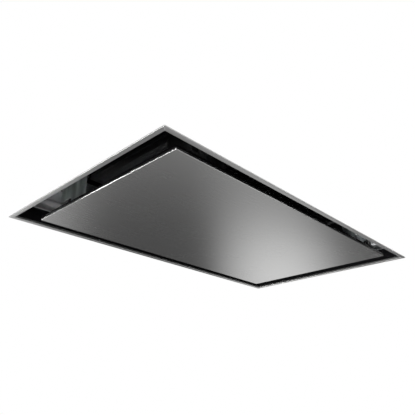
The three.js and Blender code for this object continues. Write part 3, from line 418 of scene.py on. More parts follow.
@dataclass(frozen=True)
class ZincSheet(Finish):
    """Galvanised sheet: crystals of zinc, each a little lighter or darker than the next.

    Attributes:
        crystals: How many crystals lie along a metre.
    """

    contrast: float = 0.13
    crystals: float = 120.0

    def varied(self, graph: Graph) -> dict:
        """Crystals and their sheen.

        Args:
            graph: The material's graph.

        Returns:
            The shader's inputs.
        """
        inputs = {"Vector": graph.place(), "Scale": self.crystals}
        cells = graph.add("TexVoronoi", {"feature": "SMOOTH_F1"}, inputs)
        crystal = graph.axes(cells["Color"])[0]
        dull = graph.noise(7.0, 3.0)
        return {
            "Base Color": self.shade(graph, crystal.blend(dull, 0.6)),
            "Roughness": self.sheen((crystal, 0.14), (dull, 0.08)),
        }


@dataclass(frozen=True)
class MillAluminium(Finish):
    """Rolled aluminium sheet as it leaves the mill."""

    contrast: float = 0.08

    def varied(self, graph: Graph) -> dict:
        """Roll marks along the long side, and dull patches.

        Args:
            graph: The material's graph.

        Returns:
            The shader's inputs.
        """
        roll = graph.noise((10.0, 700.0, 700.0), 3.0)
        patch = graph.noise(30.0, 3.0)
        return {
            "Base Color": self.shade(graph, roll.blend(patch, 0.5)),
            "Roughness": self.sheen((roll, 0.1), (patch, 0.14)),
            "Normal": graph.bump(roll, 0.00002),
        }


@dataclass(frozen=True)
class PowderCoat(Finish):
    """Baked powder paint with its fine orange-peel skin."""

    metallic: float = 0.0
    contrast: float = 0.3

    def varied(self, graph: Graph) -> dict:
        """Orange peel and a little dust.

        Args:
            graph: The material's graph.

        Returns:
            The shader's inputs.
        """
        peel = graph.noise(900.0)
        dust = graph.noise(12.0, 4.0, 0.65)
        return {
            "Base Color": self.shade(graph, dust),
            "Roughness": self.sheen((dust, 0.16)),
            "Normal": graph.bump(peel, 0.00012, 0.6),
        }


@dataclass(frozen=True)
class MouldedPlastic(Finish):
    """Injection-moulded plastic with a spark-eroded skin."""

    metallic: float = 0.0
    contrast: float = 0.08

    def varied(self, graph: Graph) -> dict:
        """Fine grain of the mould, and slow changes of sheen.

        Args:
            graph: The material's graph.

        Returns:
            The shader's inputs.
        """
        grain = graph.noise(1500.0)
        flow = graph.noise(18.0, 3.0)
        return {
            "Base Color": self.shade(graph, flow),
            "Roughness": self.sheen((flow, 0.14)),
            "Normal": graph.bump(grain, 0.00006, 0.7),
        }


@dataclass(frozen=True)
class SealFoam(Finish):
    """Closed-cell foam strip, dull, with its cut cells."""

    metallic: float = 0.0
    contrast: float = 0.35

    def varied(self, graph: Graph) -> dict:
        """Cells of two sizes.

        Args:
            graph: The material's graph.

        Returns:
            The shader's inputs.
        """
        inputs = {"Vector": graph.place(), "Scale": 1400.0}
        cells = graph.add("TexVoronoi", {"feature": "F1"}, inputs)["Distance"]
        patch = graph.noise(160.0, 3.0)
        return {
            "Base Color": self.shade(graph, cells.blend(patch, 0.7)),
            "Roughness": self.sheen((patch, 0.1)),
            "Normal": graph.bump(cells, 0.0003, 0.8),
        }


TRIM_STEEL = BrushedSteel(
    "trim_steel", "brushed_steel", (0.58, 0.58, 0.575), 0.36, grain=Grain.ROUND_FRAME,
    scratch=0.0000015, half_size=(CAD_BOX[1].x - TRIM_FACE, CAD_BOX[1].y - TRIM_FACE),
)
PANEL_STEEL = BrushedSteel("panel_steel", "satin_steel", (0.58, 0.58, 0.575), 0.27, contrast=0.01)
EDGE_STEEL = RolledSteel("edge_steel", "satin_steel", (0.72, 0.72, 0.715), 0.07)
WIRE_STEEL = RolledSteel("wire_steel", "polished_steel", (0.74, 0.74, 0.75), 0.16)
# Its strong contrast paints reflections into the colour: upright bands and blotches of light and dark on
# the polished brackets.
BRACKET_STEEL = RolledSteel(
    "bracket_steel", "polished_steel", (0.53, 0.57, 0.62), 0.30,
    metallic=0.65, ripple=0.004, contrast=0.75,
)
ZINC = ZincSheet("zinc_sheet", "zinc_steel", (0.56, 0.58, 0.60), 0.42)
CANOPY_ZINC = ZincSheet("canopy_zinc", "zinc_steel", (0.62, 0.63, 0.64), 0.40, metallic=0.5)
SEAL_FOAM = SealFoam("seal_foam", "black_plastic", (0.020, 0.020, 0.021), 0.9)
# Black coating with painted shade: its colour and gloss lie below real black paint's, so the frame, filter
# plate and inner tray stay as dark as the recess's shade.
BLACK_PAINT_AND_SHADE = PowderCoat("black_paint_and_shade", "black_steel", (0.0025, 0.0025, 0.003), 0.55, gloss=0.05)
MOTOR_PAINT = PowderCoat("motor_paint", "motor_grey", (0.16, 0.17, 0.18), 0.45)
BLACK_PLASTIC = MouldedPlastic("black_plastic", "black_plastic", (0.006, 0.006, 0.0065), 0.5, gloss=0.15)
WHITE_PLASTIC = MouldedPlastic("white_plastic", "white_plastic", (0.66, 0.66, 0.63), 0.42)
MILL_ALUMINIUM = MillAluminium("mill_aluminium", "aluminium", (0.55, 0.56, 0.57), 0.38)

# Metals in the recess, with painted shade: their colours are darker than bare ones, because the recess is
# almost black. The shaded brackets' strong contrast also paints reflections into the colour.
SHADED_STEEL = RolledSteel(
    "shaded_steel", "polished_steel", (0.20, 0.205, 0.21), 0.34, ripple=0.004, contrast=0.6
)
SHADED_HANDLE_STEEL = RolledSteel("shaded_handle_steel", "polished_steel", (0.06, 0.06, 0.062), 0.4, metallic=0.3)
SHADED_RIM_ALUMINIUM = MillAluminium("shaded_rim_aluminium", "aluminium", (0.20, 0.205, 0.21), 0.38)
SHADED_MESH_ALUMINIUM = MillAluminium("shaded_mesh_aluminium", "aluminium", (0.22, 0.225, 0.23), 0.4)


# ---- shapes


def moved(bm: BMesh, matrix: Matrix) -> None:
    """Applies a matrix to all of a bmesh."""
    bmesh.ops.transform(bm, matrix=matrix, verts=bm.verts)


def upright_edges(bm: BMesh) -> list:
    """The edges that run straight up."""
    return [e for e in bm.edges if (e.verts[0].co.xy - e.verts[1].co.xy).length < NEAR]


def sharp_edges(bm: BMesh, below: float = math.inf) -> list:
    """The sharp edges that lie below a height."""
    folded = [e for e in bm.edges if e.is_manifold and e.calc_face_angle(0.0) > SHARP]
    return [e for e in folded if max(vert.co.z for vert in e.verts) < below]


def rounded(bm: BMesh, edges: list, radius: float, segments: int) -> None:
    """Rounds edges off."""
    bmesh.ops.bevel(
        bm, geom=edges, offset=radius, segments=segments, profile=0.5, affect="EDGES",
        clamp_overlap=True, material=-1,
    )


def inset(bm: BMesh, face: BMFace, width: float) -> list:
    """Draws a face in from its edges, and gives the new faces round it."""
    made = bmesh.ops.inset_region(
        bm, faces=[face], thickness=width, use_boundary=True, use_even_offset=True
    )
    return made["faces"]


def verts_in(made: list) -> list:
    """The vertices among what an operator made."""
    return [part for part in made if isinstance(part, BMVert)]


def raised(bm: BMesh, faces: list, height: float, keep: bool) -> None:
    """Extrudes faces upwards, and keeps them below too where the shape has no underside yet."""
    made = bmesh.ops.extrude_face_region(bm, geom=faces, use_keep_orig=keep)["geom"]
    bmesh.ops.translate(bm, vec=(0, 0, height), verts=verts_in(made))


def spun(profile: Sequence[Pair], centre: Vector, axis: Vector, steps: int) -> BMesh:
    """Turns a closed profile round an axis.

    Args:
        profile: (radius, distance along the axis) of each corner.
        centre: A point on the axis, at distance zero.
        axis: The axis's direction.
        steps: Facets in a full turn.

    Returns:
        A closed solid.
    """
    bm = bmesh.new()
    side = axis.orthogonal().normalized()
    corners = [bm.verts.new(centre + side * radius + axis * along) for radius, along in profile]
    ring = [bm.edges.new((a, b)) for a, b in zip(corners, corners[1:] + corners[:1])]
    bmesh.ops.spin(
        bm, geom=corners + ring, cent=centre, axis=axis, angle=math.tau, steps=steps, use_merge=True
    )
    bmesh.ops.remove_doubles(bm, verts=bm.verts, dist=NEAR)
    return bm


class Wire:
    """A round wire, pushed straight or round a bend from its first cross-section."""

    sides: int = 14

    def __init__(self, radius: float, start: Vector, heading: Vector) -> None:
        """Places the first cross-section.

        Args:
            radius: The wire's radius.
            start: The cross-section's centre.
            heading: Which way the wire goes first.
        """
        self.bm = bmesh.new()
        self.at = start.copy()
        self.heading = heading.normalized()
        turn = self.heading.to_track_quat("Z", "Y").to_matrix().to_4x4()
        made = bmesh.ops.create_circle(
            self.bm, cap_ends=True, radius=radius, segments=self.sides,
            matrix=Matrix.Translation(start) @ turn,
        )
        self.ring = list({edge for vert in made["verts"] for edge in vert.link_edges})

    def straight(self, length: float) -> None:
        """Pushes the wire forward.

        Args:
            length: How far.
        """
        step = self.heading * length
        made = bmesh.ops.extrude_edge_only(self.bm, edges=self.ring)["geom"]
        bmesh.ops.translate(self.bm, vec=step, verts=verts_in(made))
        self._lead(made)
        self.at += step

    def bend(self, axis: Vector, radius: float, degrees: float = 90, steps: int = 8) -> None:
        """Pushes the wire round a bend to its left, seen with the axis pointing at the viewer.

        Args:
            axis: The bend's axis.
            radius: Its radius, to the wire's middle.
            degrees: How far it turns.
            steps: Facets along it.
        """
        centre = self.at + axis.cross(self.heading) * radius
        verts = list({vert for edge in self.ring for vert in edge.verts})
        angle = math.radians(degrees)
        made = bmesh.ops.spin(
            self.bm, geom=verts + self.ring, cent=centre, axis=axis, angle=angle, steps=steps
        )
        self._lead(made["geom_last"])
        turn = Matrix.Rotation(angle, 3, axis)
        self.at = centre + turn @ (self.at - centre)
        self.heading = turn @ self.heading

    def _lead(self, made: list) -> None:
        """Keeps the newest cross-section's edges, from what an operator made."""
        newest = set(verts_in(made))
        self.ring = [part for part in made if isinstance(part, BMEdge) and set(part.verts) <= newest]

    def finished(self) -> BMesh:
        """Closes the far end and gives the shape."""
        bmesh.ops.holes_fill(self.bm, edges=self.ring)
        return self.bm


# ---- pieces


def mesh_of(bm: BMesh, name: str) -> Mesh:
    """Turns a bmesh into a mesh.

    Args:
        bm: The shape. It is freed.
        name: The mesh's name.

    Returns:
        The mesh.
    """
    mesh = bpy.data.meshes.new(name)
    bm.to_mesh(mesh)
    bm.free()
    return mesh


def linked(name: str, data: ID) -> Object:
    """Puts an object into the scene, at the origin.

    Args:
        name: Its name.
        data: Its mesh, light or camera.

    Returns:
        The object.
    """
    made = bpy.data.objects.new(name, data)
    bpy.context.scene.collection.objects.link(made)
    return made


def piece_of(bm: BMesh, name: str, body: str, finish: Finish, smooth_below: float = 35.0) -> Object:
    """Turns a bmesh into a piece of the hood.

    Args:
        bm: The shape, in place. It is freed.
        name: The piece's name.
        body: The body that it moves with.
        finish: Its finish.
        smooth_below: Angle between faces, in degrees, up to which they are shaded as one.

    Returns:
        The new object.
    """
    bmesh.ops.remove_doubles(bm, verts=bm.verts, dist=NEAR)
    bmesh.ops.recalc_face_normals(bm, faces=bm.faces)
    mesh = mesh_of(bm, name)
    mesh.shade_smooth()
    mesh.set_sharp_from_angle(angle=math.radians(smooth_below))
    mesh.materials.append(finish.material())
    piece = linked(name, mesh)
    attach(piece, body)
    LOG.info("piece %s on %s", name, body)
    return piece


def dress(finish: Finish, *nodes: str) -> None:
    """Gives solids that keep their shape a finish.

    Args:
        finish: The finish.
        nodes: The solids.
    """
    for node in nodes:
        materials = frame["nodes"][node].data.materials
        materials.clear()
        materials.append(finish.material())
        LOG.info("dressed %s in %s", node, finish.name)


def softened(
    node: str, name: str, finish: Finish, edge: float = 0.3 * MM, segments: int = 2
) -> Object:
    """Replaces a solid by a copy whose flat faces are whole and whose sharp edges are rounded.

    Args:
        node: The solid.
        name: The new piece's name.
        finish: Its finish.
        edge: Radius of the rounded edges, in metres.
        segments: Facets across each rounded edge.

    Returns:
        The new piece.
    """
    solid = frame["nodes"][node]
    bm = bmesh.new()
    bm.from_mesh(solid.data)
    bmesh.ops.remove_doubles(bm, verts=bm.verts, dist=2 * NEAR)
    bmesh.ops.dissolve_limit(bm, angle_limit=FLAT, verts=bm.verts, edges=bm.edges)
    rounded(bm, sharp_edges(bm), edge, segments)
    piece = piece_of(bm, name, solid["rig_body"], finish)
    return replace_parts(piece, node)


# ---- fasteners


class Head(Enum):
    """Shape of a fastener's head."""

    PAN = "low dome with a cross recess"
    RIVET = "plain low dome"


@dataclass(frozen=True)
class Fastener:
    """One kind of screw or rivet, in metres. A shank of no radius leaves the head alone.

    The dome's outline is in shares of the head's radius and height. The slot is the length and
    width of each arm of the recess, in shares of the radius, and its floor is a share of the height.
    """

    radius: float
    height: float
    head: Head = Head.PAN
    shank: float = 0.0
    depth: float = 0.0
    steps: int = 20
    dome: tuple = ((0.0, 1.0), (0.4, 0.96), (0.75, 0.78), (0.95, 0.45), (1.0, 0.15), (1.0, 0.0))
    slot: Pair = (1.05, 0.24)
    slot_floor: float = 0.45

    def mesh(self) -> Mesh:
        """Turns the fastener, with its seat at zero and its head towards +Z.

        Returns:
            Its mesh.
        """
        outline = [(self.radius * out, self.height * up) for out, up in self.dome]
        if self.shank:
            outline += [(self.shank, 0.0), (self.shank, -self.depth), (0.0, -self.depth)]
        else:
            outline += [(0.0, 0.0)]
        shape = spun(outline, Vector(), Z_AXIS, self.steps)
        bmesh.ops.recalc_face_normals(shape, faces=shape.faces)
        made = mesh_of(shape, "fastener")
        return self._recessed(made) if self.head is Head.PAN else made

    def _recessed(self, head: Mesh) -> Mesh:
        """Cuts the cross-shaped recess.

        Args:
            head: The fastener without it.

        Returns:
            The fastener with it.
        """
        cross = bmesh.new()
        long, wide = self.slot
        middle = self.height * self.slot_floor + self.radius / 2
        for size in ((long, wide, 1.0), (wide, long, 1.0)):
            made = bmesh.ops.create_cube(cross, size=1.0)["verts"]
            bmesh.ops.scale(cross, vec=Vector(size) * self.radius, verts=made)
            bmesh.ops.translate(cross, vec=(0, 0, middle), verts=made)
        body, tool = linked("fastener", head), linked("recess", mesh_of(cross, "recess"))
        cut = body.modifiers.new("recess", "BOOLEAN")
        cut.operation, cut.solver, cut.use_self, cut.object = "DIFFERENCE", "EXACT", True, tool
        depsgraph = bpy.context.evaluated_depsgraph_get()
        made = bpy.data.meshes.new_from_object(body.evaluated_get(depsgraph))
        for part in (body, tool):
            bpy.data.objects.remove(part)
        return made

    def fit(self, name: str, body: str, finish: Finish, seats: Iterable[Seat]) -> Object:
        """Puts the fastener at each seat.

        Args:
            name: Name of the piece that holds them all.
            body: The body that they move with.
            finish: Their finish.
            seats: The seats.

        Returns:
            The piece.
        """
        bm = bmesh.new()
        pattern = self.mesh()
        for place, outward in seats:
            copy = pattern.copy()
            turn = outward.to_track_quat("Z", "Y").to_matrix().to_4x4()
            copy.transform(Matrix.Translation(place) @ turn)
            bm.from_mesh(copy)
            bpy.data.meshes.remove(copy)
        return piece_of(bm, name, body, finish)


def rim_seats(
    xs: Iterable[float], ys: Iterable[float], reach: Pair, z: float, outward: Vector | None = None
) -> list[Seat]:
    """Seats of fasteners in facing pairs on the sides of a rectangle round the origin.

    Args:
        xs: Places along its long sides.
        ys: Places along its short sides.
        reach: Half its length and half its depth.
        z: Its height.
        outward: Which way the heads face, or None for away from the middle.

    Returns:
        The seats.
    """
    rows = [((x, side * reach[1], z), Y_AXIS * side) for x in xs for _, side in SIDES]
    rows += [((side * reach[0], y, z), X_AXIS * side) for y in ys for _, side in SIDES]
    return [(Vector(place), away if outward is None else outward) for place, away in rows]


def spread(count: int, span: float) -> list[float]:
    """Places at even steps over a span round zero."""
    return [(i / (count - 1) - 0.5) * span for i in range(count)]


# ---- sub-assemblies


@dataclass
class Trim:
    """The stainless trim that lies against the ceiling, with a lip folded up round the opening."""

    sheet: float = 1.5 * MM
    lip_sheet: float = 1.0 * MM
    corner: float = 2.0 * MM
    fold: float = 0.7 * MM
    margin: float = 0.1 * MM

    def build(self) -> None:
        """Folds and mitres the trim."""
        low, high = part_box("trim_frame")
        bm = bmesh.new()
        bmesh.ops.create_grid(bm, x_segments=1, y_segments=1, size=0.5)
        bmesh.ops.scale(bm, vec=(high.x - low.x, high.y - low.y, 1), verts=bm.verts)
        middle = next(iter(bm.faces))
        rings = inset(bm, middle, TRIM_FACE - self.lip_sheet) + inset(bm, middle, self.lip_sheet)
        bmesh.ops.delete(bm, geom=[middle], context="FACES")
        raised(bm, rings, self.sheet, True)
        inner_x, inner_y = (side - TRIM_FACE + self.lip_sheet + self.margin for side in (high.x, high.y))
        tops = [
            face for face in bm.faces
            if all(
                abs(v.co.x) < inner_x and abs(v.co.y) < inner_y and v.co.z > self.sheet / 2
                for v in face.verts
            )
        ]
        raised(bm, tops, high.z - self.sheet, False)
        outer = [edge for edge in upright_edges(bm) if abs(edge.verts[0].co.x) > inner_x]
        rounded(bm, outer, self.corner, 5)
        rounded(bm, sharp_edges(bm, NEAR), self.fold, 4)
        piece = piece_of(bm, "trim_steelwork", "housing", TRIM_STEEL)
        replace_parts(piece, "trim_frame")
        dress(SEAL_FOAM, "ceiling_seal")


@dataclass
class Recess:
    """What shows past the panel: mounting frame, canopy, filter plate and corner brackets."""

    rivet: Fastener = Fastener(2.6 * MM, 1.0 * MM, Head.RIVET)
    rivets_along: int = 5
    rivet_span_along: float = 0.86
    rivets_across: int = 3
    rivet_span_across: float = 0.72
    rivet_inset: float = 4.2 * MM
    flange_sheet: float = 1.2 * MM
    screw: Fastener = Fastener(3.4 * MM, 1.6 * MM)
    screws_along: tuple[float, ...] = (-0.38, -0.13, 0.13, 0.38)
    screws_across: tuple[float, ...] = (-0.3, 0.3)
    screw_rise: float = 10 * MM

    def build(self) -> None:
        """Dresses the shells and sets their rivets and screws."""
        softened("mounting_frame", "mounting_frame_folded", BLACK_PAINT_AND_SHADE)
        softened("canopy_shell", "canopy_folded", CANOPY_ZINC)
        softened("filter_plate", "filter_plate_folded", BLACK_PAINT_AND_SHADE, 0.25 * MM)
        for name, side, end in CORNERS:
            # The corner nearest to the camera and the farthest one lie in shade, so their brackets take a
            # darker copy of the steel as painted shade.
            steel = SHADED_STEEL if side * end > 0 else BRACKET_STEEL
            softened(f"corner_bracket_{name}", f"corner_bracket_folded_{name}", steel, segments=3)
        self._flange_rivets()
        self._wall_screws()

    def _flange_rivets(self) -> None:
        """Sets the rivets, whose heads face down."""
        low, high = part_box("mounting_frame")
        xs = spread(self.rivets_along, (high.x - low.x) * self.rivet_span_along)
        ys = spread(self.rivets_across, (high.y - low.y) * self.rivet_span_across)
        reach = (high.x - self.rivet_inset, high.y - self.rivet_inset)
        seats = rim_seats(xs, ys, reach, high.z - self.flange_sheet, -Z_AXIS)
        self.rivet.fit("flange_rivets", "housing", BLACK_PAINT_AND_SHADE, seats)

    def _wall_screws(self) -> None:
        """Sets the screws."""
        low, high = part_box("canopy_shell")
        xs = [share * (high.x - low.x) for share in self.screws_along]
        ys = [share * (high.y - low.y) for share in self.screws_across]
        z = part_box("filter_plate")[0].z + self.screw_rise
        self.screw.fit("canopy_wall_screws", "housing", ZINC, rim_seats(xs, ys, (high.x, high.y), z))


@dataclass
class PanelCarrier:
    """The posts in the recess, and the hinges and catches that hold the panel on them."""

    post_edge: float = 0.6 * MM
    hinge_edge: float = 0.5 * MM

    def build(self) -> None:
        """Dresses the mouldings and pins."""
        for side, _ in SIDES:
            for node in ("hinge_post", "catch_post", "hinge_leaf", "catch_strike"):
                edge = self.post_edge if node.endswith("post") else self.hinge_edge
                softened(f"{node}_{side}", f"{node}_moulded_{side}", BLACK_PLASTIC, edge, 3)
            softened(f"hinge_pin_{side}", f"hinge_pin_turned_{side}", WIRE_STEEL)


@dataclass
class CoverPanel:
    """The satin tray that hangs flush in the trim, and its black inner tray."""

    corner: float = 4.0 * MM
    edge: float = 1.0 * MM
    sheet: float = 1.2 * MM
    edge_slope: Pair = (0.02, 0.98)

    def build(self) -> None:
        """Folds the tray and dresses the inner one."""
        low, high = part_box("panel_face")
        bm = bmesh.new()
        bmesh.ops.create_cube(bm, size=1.0)
        moved(bm, Matrix.Translation((low + high) / 2) @ Matrix.Diagonal((*(high - low), 1)))
        top = [face for face in bm.faces if all(v.co.z > high.z - NEAR for v in face.verts)]
        bmesh.ops.delete(bm, geom=top, context="FACES")
        rounded(bm, upright_edges(bm), self.corner, 8)
        rounded(bm, sharp_edges(bm, low.z + NEAR), self.edge, 5)
        bm.normal_update()
        flattest, steepest = self.edge_slope
        for face in bm.faces:
            face.material_index = 1 if flattest < abs(face.normal.z) < steepest else 0
        piece = piece_of(bm, "panel_tray", "cover_panel", PANEL_STEEL)
        piece.data.materials.append(EDGE_STEEL.material())
        wall = piece.modifiers.new("wall", "SOLIDIFY")
        wall.thickness, wall.offset = self.sheet, -1.0
        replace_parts(piece, "panel_face")
        softened("panel_backing", "panel_inner_tray", BLACK_PAINT_AND_SHADE)


@dataclass
class GreaseFilter:
    """One of the two filters: rim, folded core, expanded-metal face and wire handle."""

    side: str
    cell: Pair = (9.0 * MM, 4.5 * MM)
    strand: float = 0.7 * MM
    window: Pair = (288 * MM, 270 * MM)
    face_depth: float = 0.6 * MM
    wire: float = 1.7 * MM
    pivot_bend: float = 3.0 * MM
    grip_bend: float = 5.0 * MM
    half_grip: float = 24.0 * MM

    def build(self) -> None:
        """Makes the filter."""
        # The rim, core, mesh and handle take darker metals than bare ones: painted shade of the recess.
        softened(f"filter_frame_{self.side}", f"filter_rim_{self.side}", SHADED_RIM_ALUMINIUM, 0.4 * MM)
        dress(SHADED_MESH_ALUMINIUM, f"filter_core_{self.side}")
        self._mesh_face()
        self._handle()

    def _mesh_face(self) -> None:
        """Cuts expanded metal to the window, as diamonds of flat strands."""
        low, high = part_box(f"filter_core_{self.side}")
        length, depth = self.window
        count = round(length / self.cell[0]) + round(depth / self.cell[1])
        bm = bmesh.new()
        bmesh.ops.create_grid(bm, x_segments=count, y_segments=count, size=count / 2)
        step = 1 / math.sqrt(2)
        squash = Matrix.Diagonal((self.cell[0] * step, self.cell[1] * step, 1, 1))
        moved(bm, squash @ Matrix.Rotation(math.radians(45), 4, "Z"))
        for normal, reach in ((X_AXIS, length), (-X_AXIS, length), (Y_AXIS, depth), (-Y_AXIS, depth)):
            geom = bm.verts[:] + bm.edges[:] + bm.faces[:]
            bmesh.ops.bisect_plane(
                bm, geom=geom, plane_co=normal * reach / 2, plane_no=normal, clear_outer=True
            )
        moved(bm, Matrix.Translation(((low.x + high.x) / 2, 0, low.z - self.face_depth)))
        piece = piece_of(bm, f"filter_mesh_{self.side}", f"{self.side}_filter", SHADED_MESH_ALUMINIUM)
        strands = piece.modifiers.new("strands", "WIREFRAME")
        strands.thickness, strands.use_even_offset, strands.use_boundary = self.strand, False, True

    def _handle(self) -> None:
        """Bends the wire handle along the solid's own box."""
        solid = f"filter_handle_{self.side}"
        low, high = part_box(solid)
        axis_z = high.z - self.wire
        run = (high.x - low.x) / 2 - self.half_grip - self.pivot_bend
        drop = axis_z - low.z - self.wire - self.pivot_bend - self.grip_bend
        grip = 2 * (self.half_grip - self.grip_bend)
        wire = Wire(self.wire, Vector((low.x, (low.y + high.y) / 2, axis_z)), X_AXIS)
        for length, axis, radius in (
            (run, Y_AXIS, self.pivot_bend), (drop, -Y_AXIS, self.grip_bend),
            (grip, -Y_AXIS, self.grip_bend), (drop, Y_AXIS, self.pivot_bend),
        ):
            wire.straight(length)
            wire.bend(axis, radius)
        wire.straight(run)
        name, body = f"filter_wire_{self.side}", f"{self.side}_handle"
        piece = piece_of(wire.finished(), name, body, SHADED_HANDLE_STEEL, 60)
        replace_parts(piece, solid)


@dataclass
class Blower:
    """The blower box on the canopy, and the fan inside it."""

    flange_screw: Fastener = Fastener(4.2 * MM, 2.2 * MM)
    screws_along: tuple[float, ...] = (-0.24, -0.08, 0.08, 0.24)
    screws_across: tuple[float, ...] = (-0.17, 0.06, 0.17)
    flange_inset: float = 6.5 * MM
    flange_sheet: float = 1.2 * MM
    lid_screw: Fastener = Fastener(3.8 * MM, 2.2 * MM, Head.PAN, 2.0 * MM, 5.0 * MM)
    lid_screws: int = 4

    def build(self) -> None:
        """Dresses the sheet metal and the fan, and sets the screws."""
        softened("blower_box", "blower_box_folded", ZINC)
        softened("blower_lid", "blower_lid_folded", ZINC, 0.4 * MM, 3)
        dress(ZINC, "blower_deck", "motor_plate")
        for node in ("scroll_shell", "inlet_ring"):
            softened(node, f"{node}_moulded", BLACK_PLASTIC, 0.4 * MM)
        softened("impeller", "impeller_moulded", WHITE_PLASTIC, 0.2 * MM, 1)
        dress(WIRE_STEEL, "motor_shaft", "hub_nut")
        dress(MOTOR_PAINT, "motor_body")
        low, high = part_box("blower_box")
        reach = (high.x - self.flange_inset, high.y - self.flange_inset)
        seats = rim_seats(
            self.screws_along, self.screws_across, reach, low.z + self.flange_sheet, Z_AXIS
        )
        self.flange_screw.fit("blower_flange_screws", "housing", ZINC, seats)
        self._lid_screws()

    def _lid_screws(self) -> None:
        """Replaces the lid's screws."""
        seats = []
        nodes = [f"lid_screw_{i + 1}" for i in range(self.lid_screws)]
        for node in nodes:
            low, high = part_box(node)
            side = 1 if low.y > 0 else -1
            seat = (high.y if side > 0 else low.y) - side * self.lid_screw.height
            centre = Vector(((low.x + high.x) / 2, seat, (low.z + high.z) / 2))
            seats.append((centre, Y_AXIS * side))
        piece = self.lid_screw.fit("lid_screws", "housing", ZINC, seats)
        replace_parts(piece, *nodes)


@dataclass
class DuctOutlet:
    """The duct collar with its bead, and the two halves of the backdraft flap."""

    radius: float = 74.5 * MM
    wall: float = 1.4 * MM
    flange_sheet: float = 1.6 * MM
    flange_edge: float = 0.3 * MM
    mouth_edge: float = 0.5 * MM
    fillet: float = 1.2 * MM
    bead: float = 1.6 * MM
    bead_from_end: float = 12 * MM
    bead_half: float = 4 * MM
    bead_steps: int = 8
    steps: int = 128

    def build(self) -> None:
        """Turns the collar and dresses the flaps."""
        low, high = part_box("outlet_collar")
        centre = Vector((low.x, (low.y + high.y) / 2, (low.z + high.z) / 2))
        length, rim = high.x - low.x, (high.y - low.y) / 2
        inner, edge, sheet = self.radius - self.wall, self.flange_edge, self.flange_sheet
        middle = length - self.bead_from_end
        shares = [i / self.bead_steps for i in range(self.bead_steps + 1)]
        bead = [
            (self.radius + self.bead * math.sin(math.pi * share), middle + self.bead_half * (2 * share - 1))
            for share in shares
        ]
        root = [
            (self.radius + self.fillet * (1 - math.cos(a)), sheet + self.fillet * (1 - math.sin(a)))
            for a in map(math.radians, (90, 60, 30, 0))
        ]
        profile = [
            (inner, 0.0), (rim - edge, 0.0), (rim, edge), (rim, sheet - edge), (rim - edge, sheet),
            *root, *bead,
            (self.radius, length - self.mouth_edge), (self.radius - self.mouth_edge, length),
            (inner, length),
        ]
        collar = spun(profile, centre, X_AXIS, self.steps)
        piece = piece_of(collar, "duct_collar", "housing", BLACK_PLASTIC, 50)
        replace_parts(piece, "outlet_collar")
        for node in ("flap_rear", "flap_front"):
            softened(node, f"{node}_pressed", MILL_ALUMINIUM, 0.2 * MM)
        dress(WIRE_STEEL, "flap_pin")


@dataclass
class Electronics:
    """The electronics box on the canopy, its cover and its cable gland."""

    cover_screw: Fastener = Fastener(3.2 * MM, 1.6 * MM)
    screw_inset: float = 8 * MM

    def build(self) -> None:
        """Dresses the box and sets the cover's screws."""
        softened("electronics_box", "electronics_tub", WHITE_PLASTIC, 0.8 * MM, 3)
        softened("electronics_cover", "electronics_lid", WHITE_PLASTIC, 0.8 * MM, 3)
        softened("cable_gland", "cable_gland_moulded", BLACK_PLASTIC, 0.4 * MM)
        low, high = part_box("electronics_cover")
        seats = [
            (Vector((x, y, high.z)), Z_AXIS)
            for x in (low.x + self.screw_inset, high.x - self.screw_inset)
            for y in (low.y + self.screw_inset, high.y - self.screw_inset)
        ]
        self.cover_screw.fit("electronics_screws", "housing", ZINC, seats)


@dataclass
class Hangers:
    """The four folded brackets that hang the hood from the building."""

    screw: Fastener = Fastener(4.4 * MM, 2.4 * MM, Head.PAN, 2.3 * MM, 2.0 * MM)
    sheet: float = 2.5 * MM
    pitch: float = 22 * MM
    foot_middle: float = 16 * MM

    def build(self) -> None:
        """Dresses the brackets and sets the screws in their feet."""
        seats = []
        for name, _, sign in CORNERS:
            softened(f"hanger_{name}", f"hanger_folded_{name}", ZINC, 0.4 * MM, 3)
            low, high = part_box(f"hanger_{name}")
            x = (low.x + high.x) / 2
            start = low.y if sign > 0 else high.y
            for step in spread(2, self.pitch):
                place = Vector((x + step, start + sign * self.foot_middle, low.z + self.sheet))
                seats.append((place, Z_AXIS))
        self.screw.fit("hanger_screws", "housing", ZINC, seats)


# ---- stage, light and camera


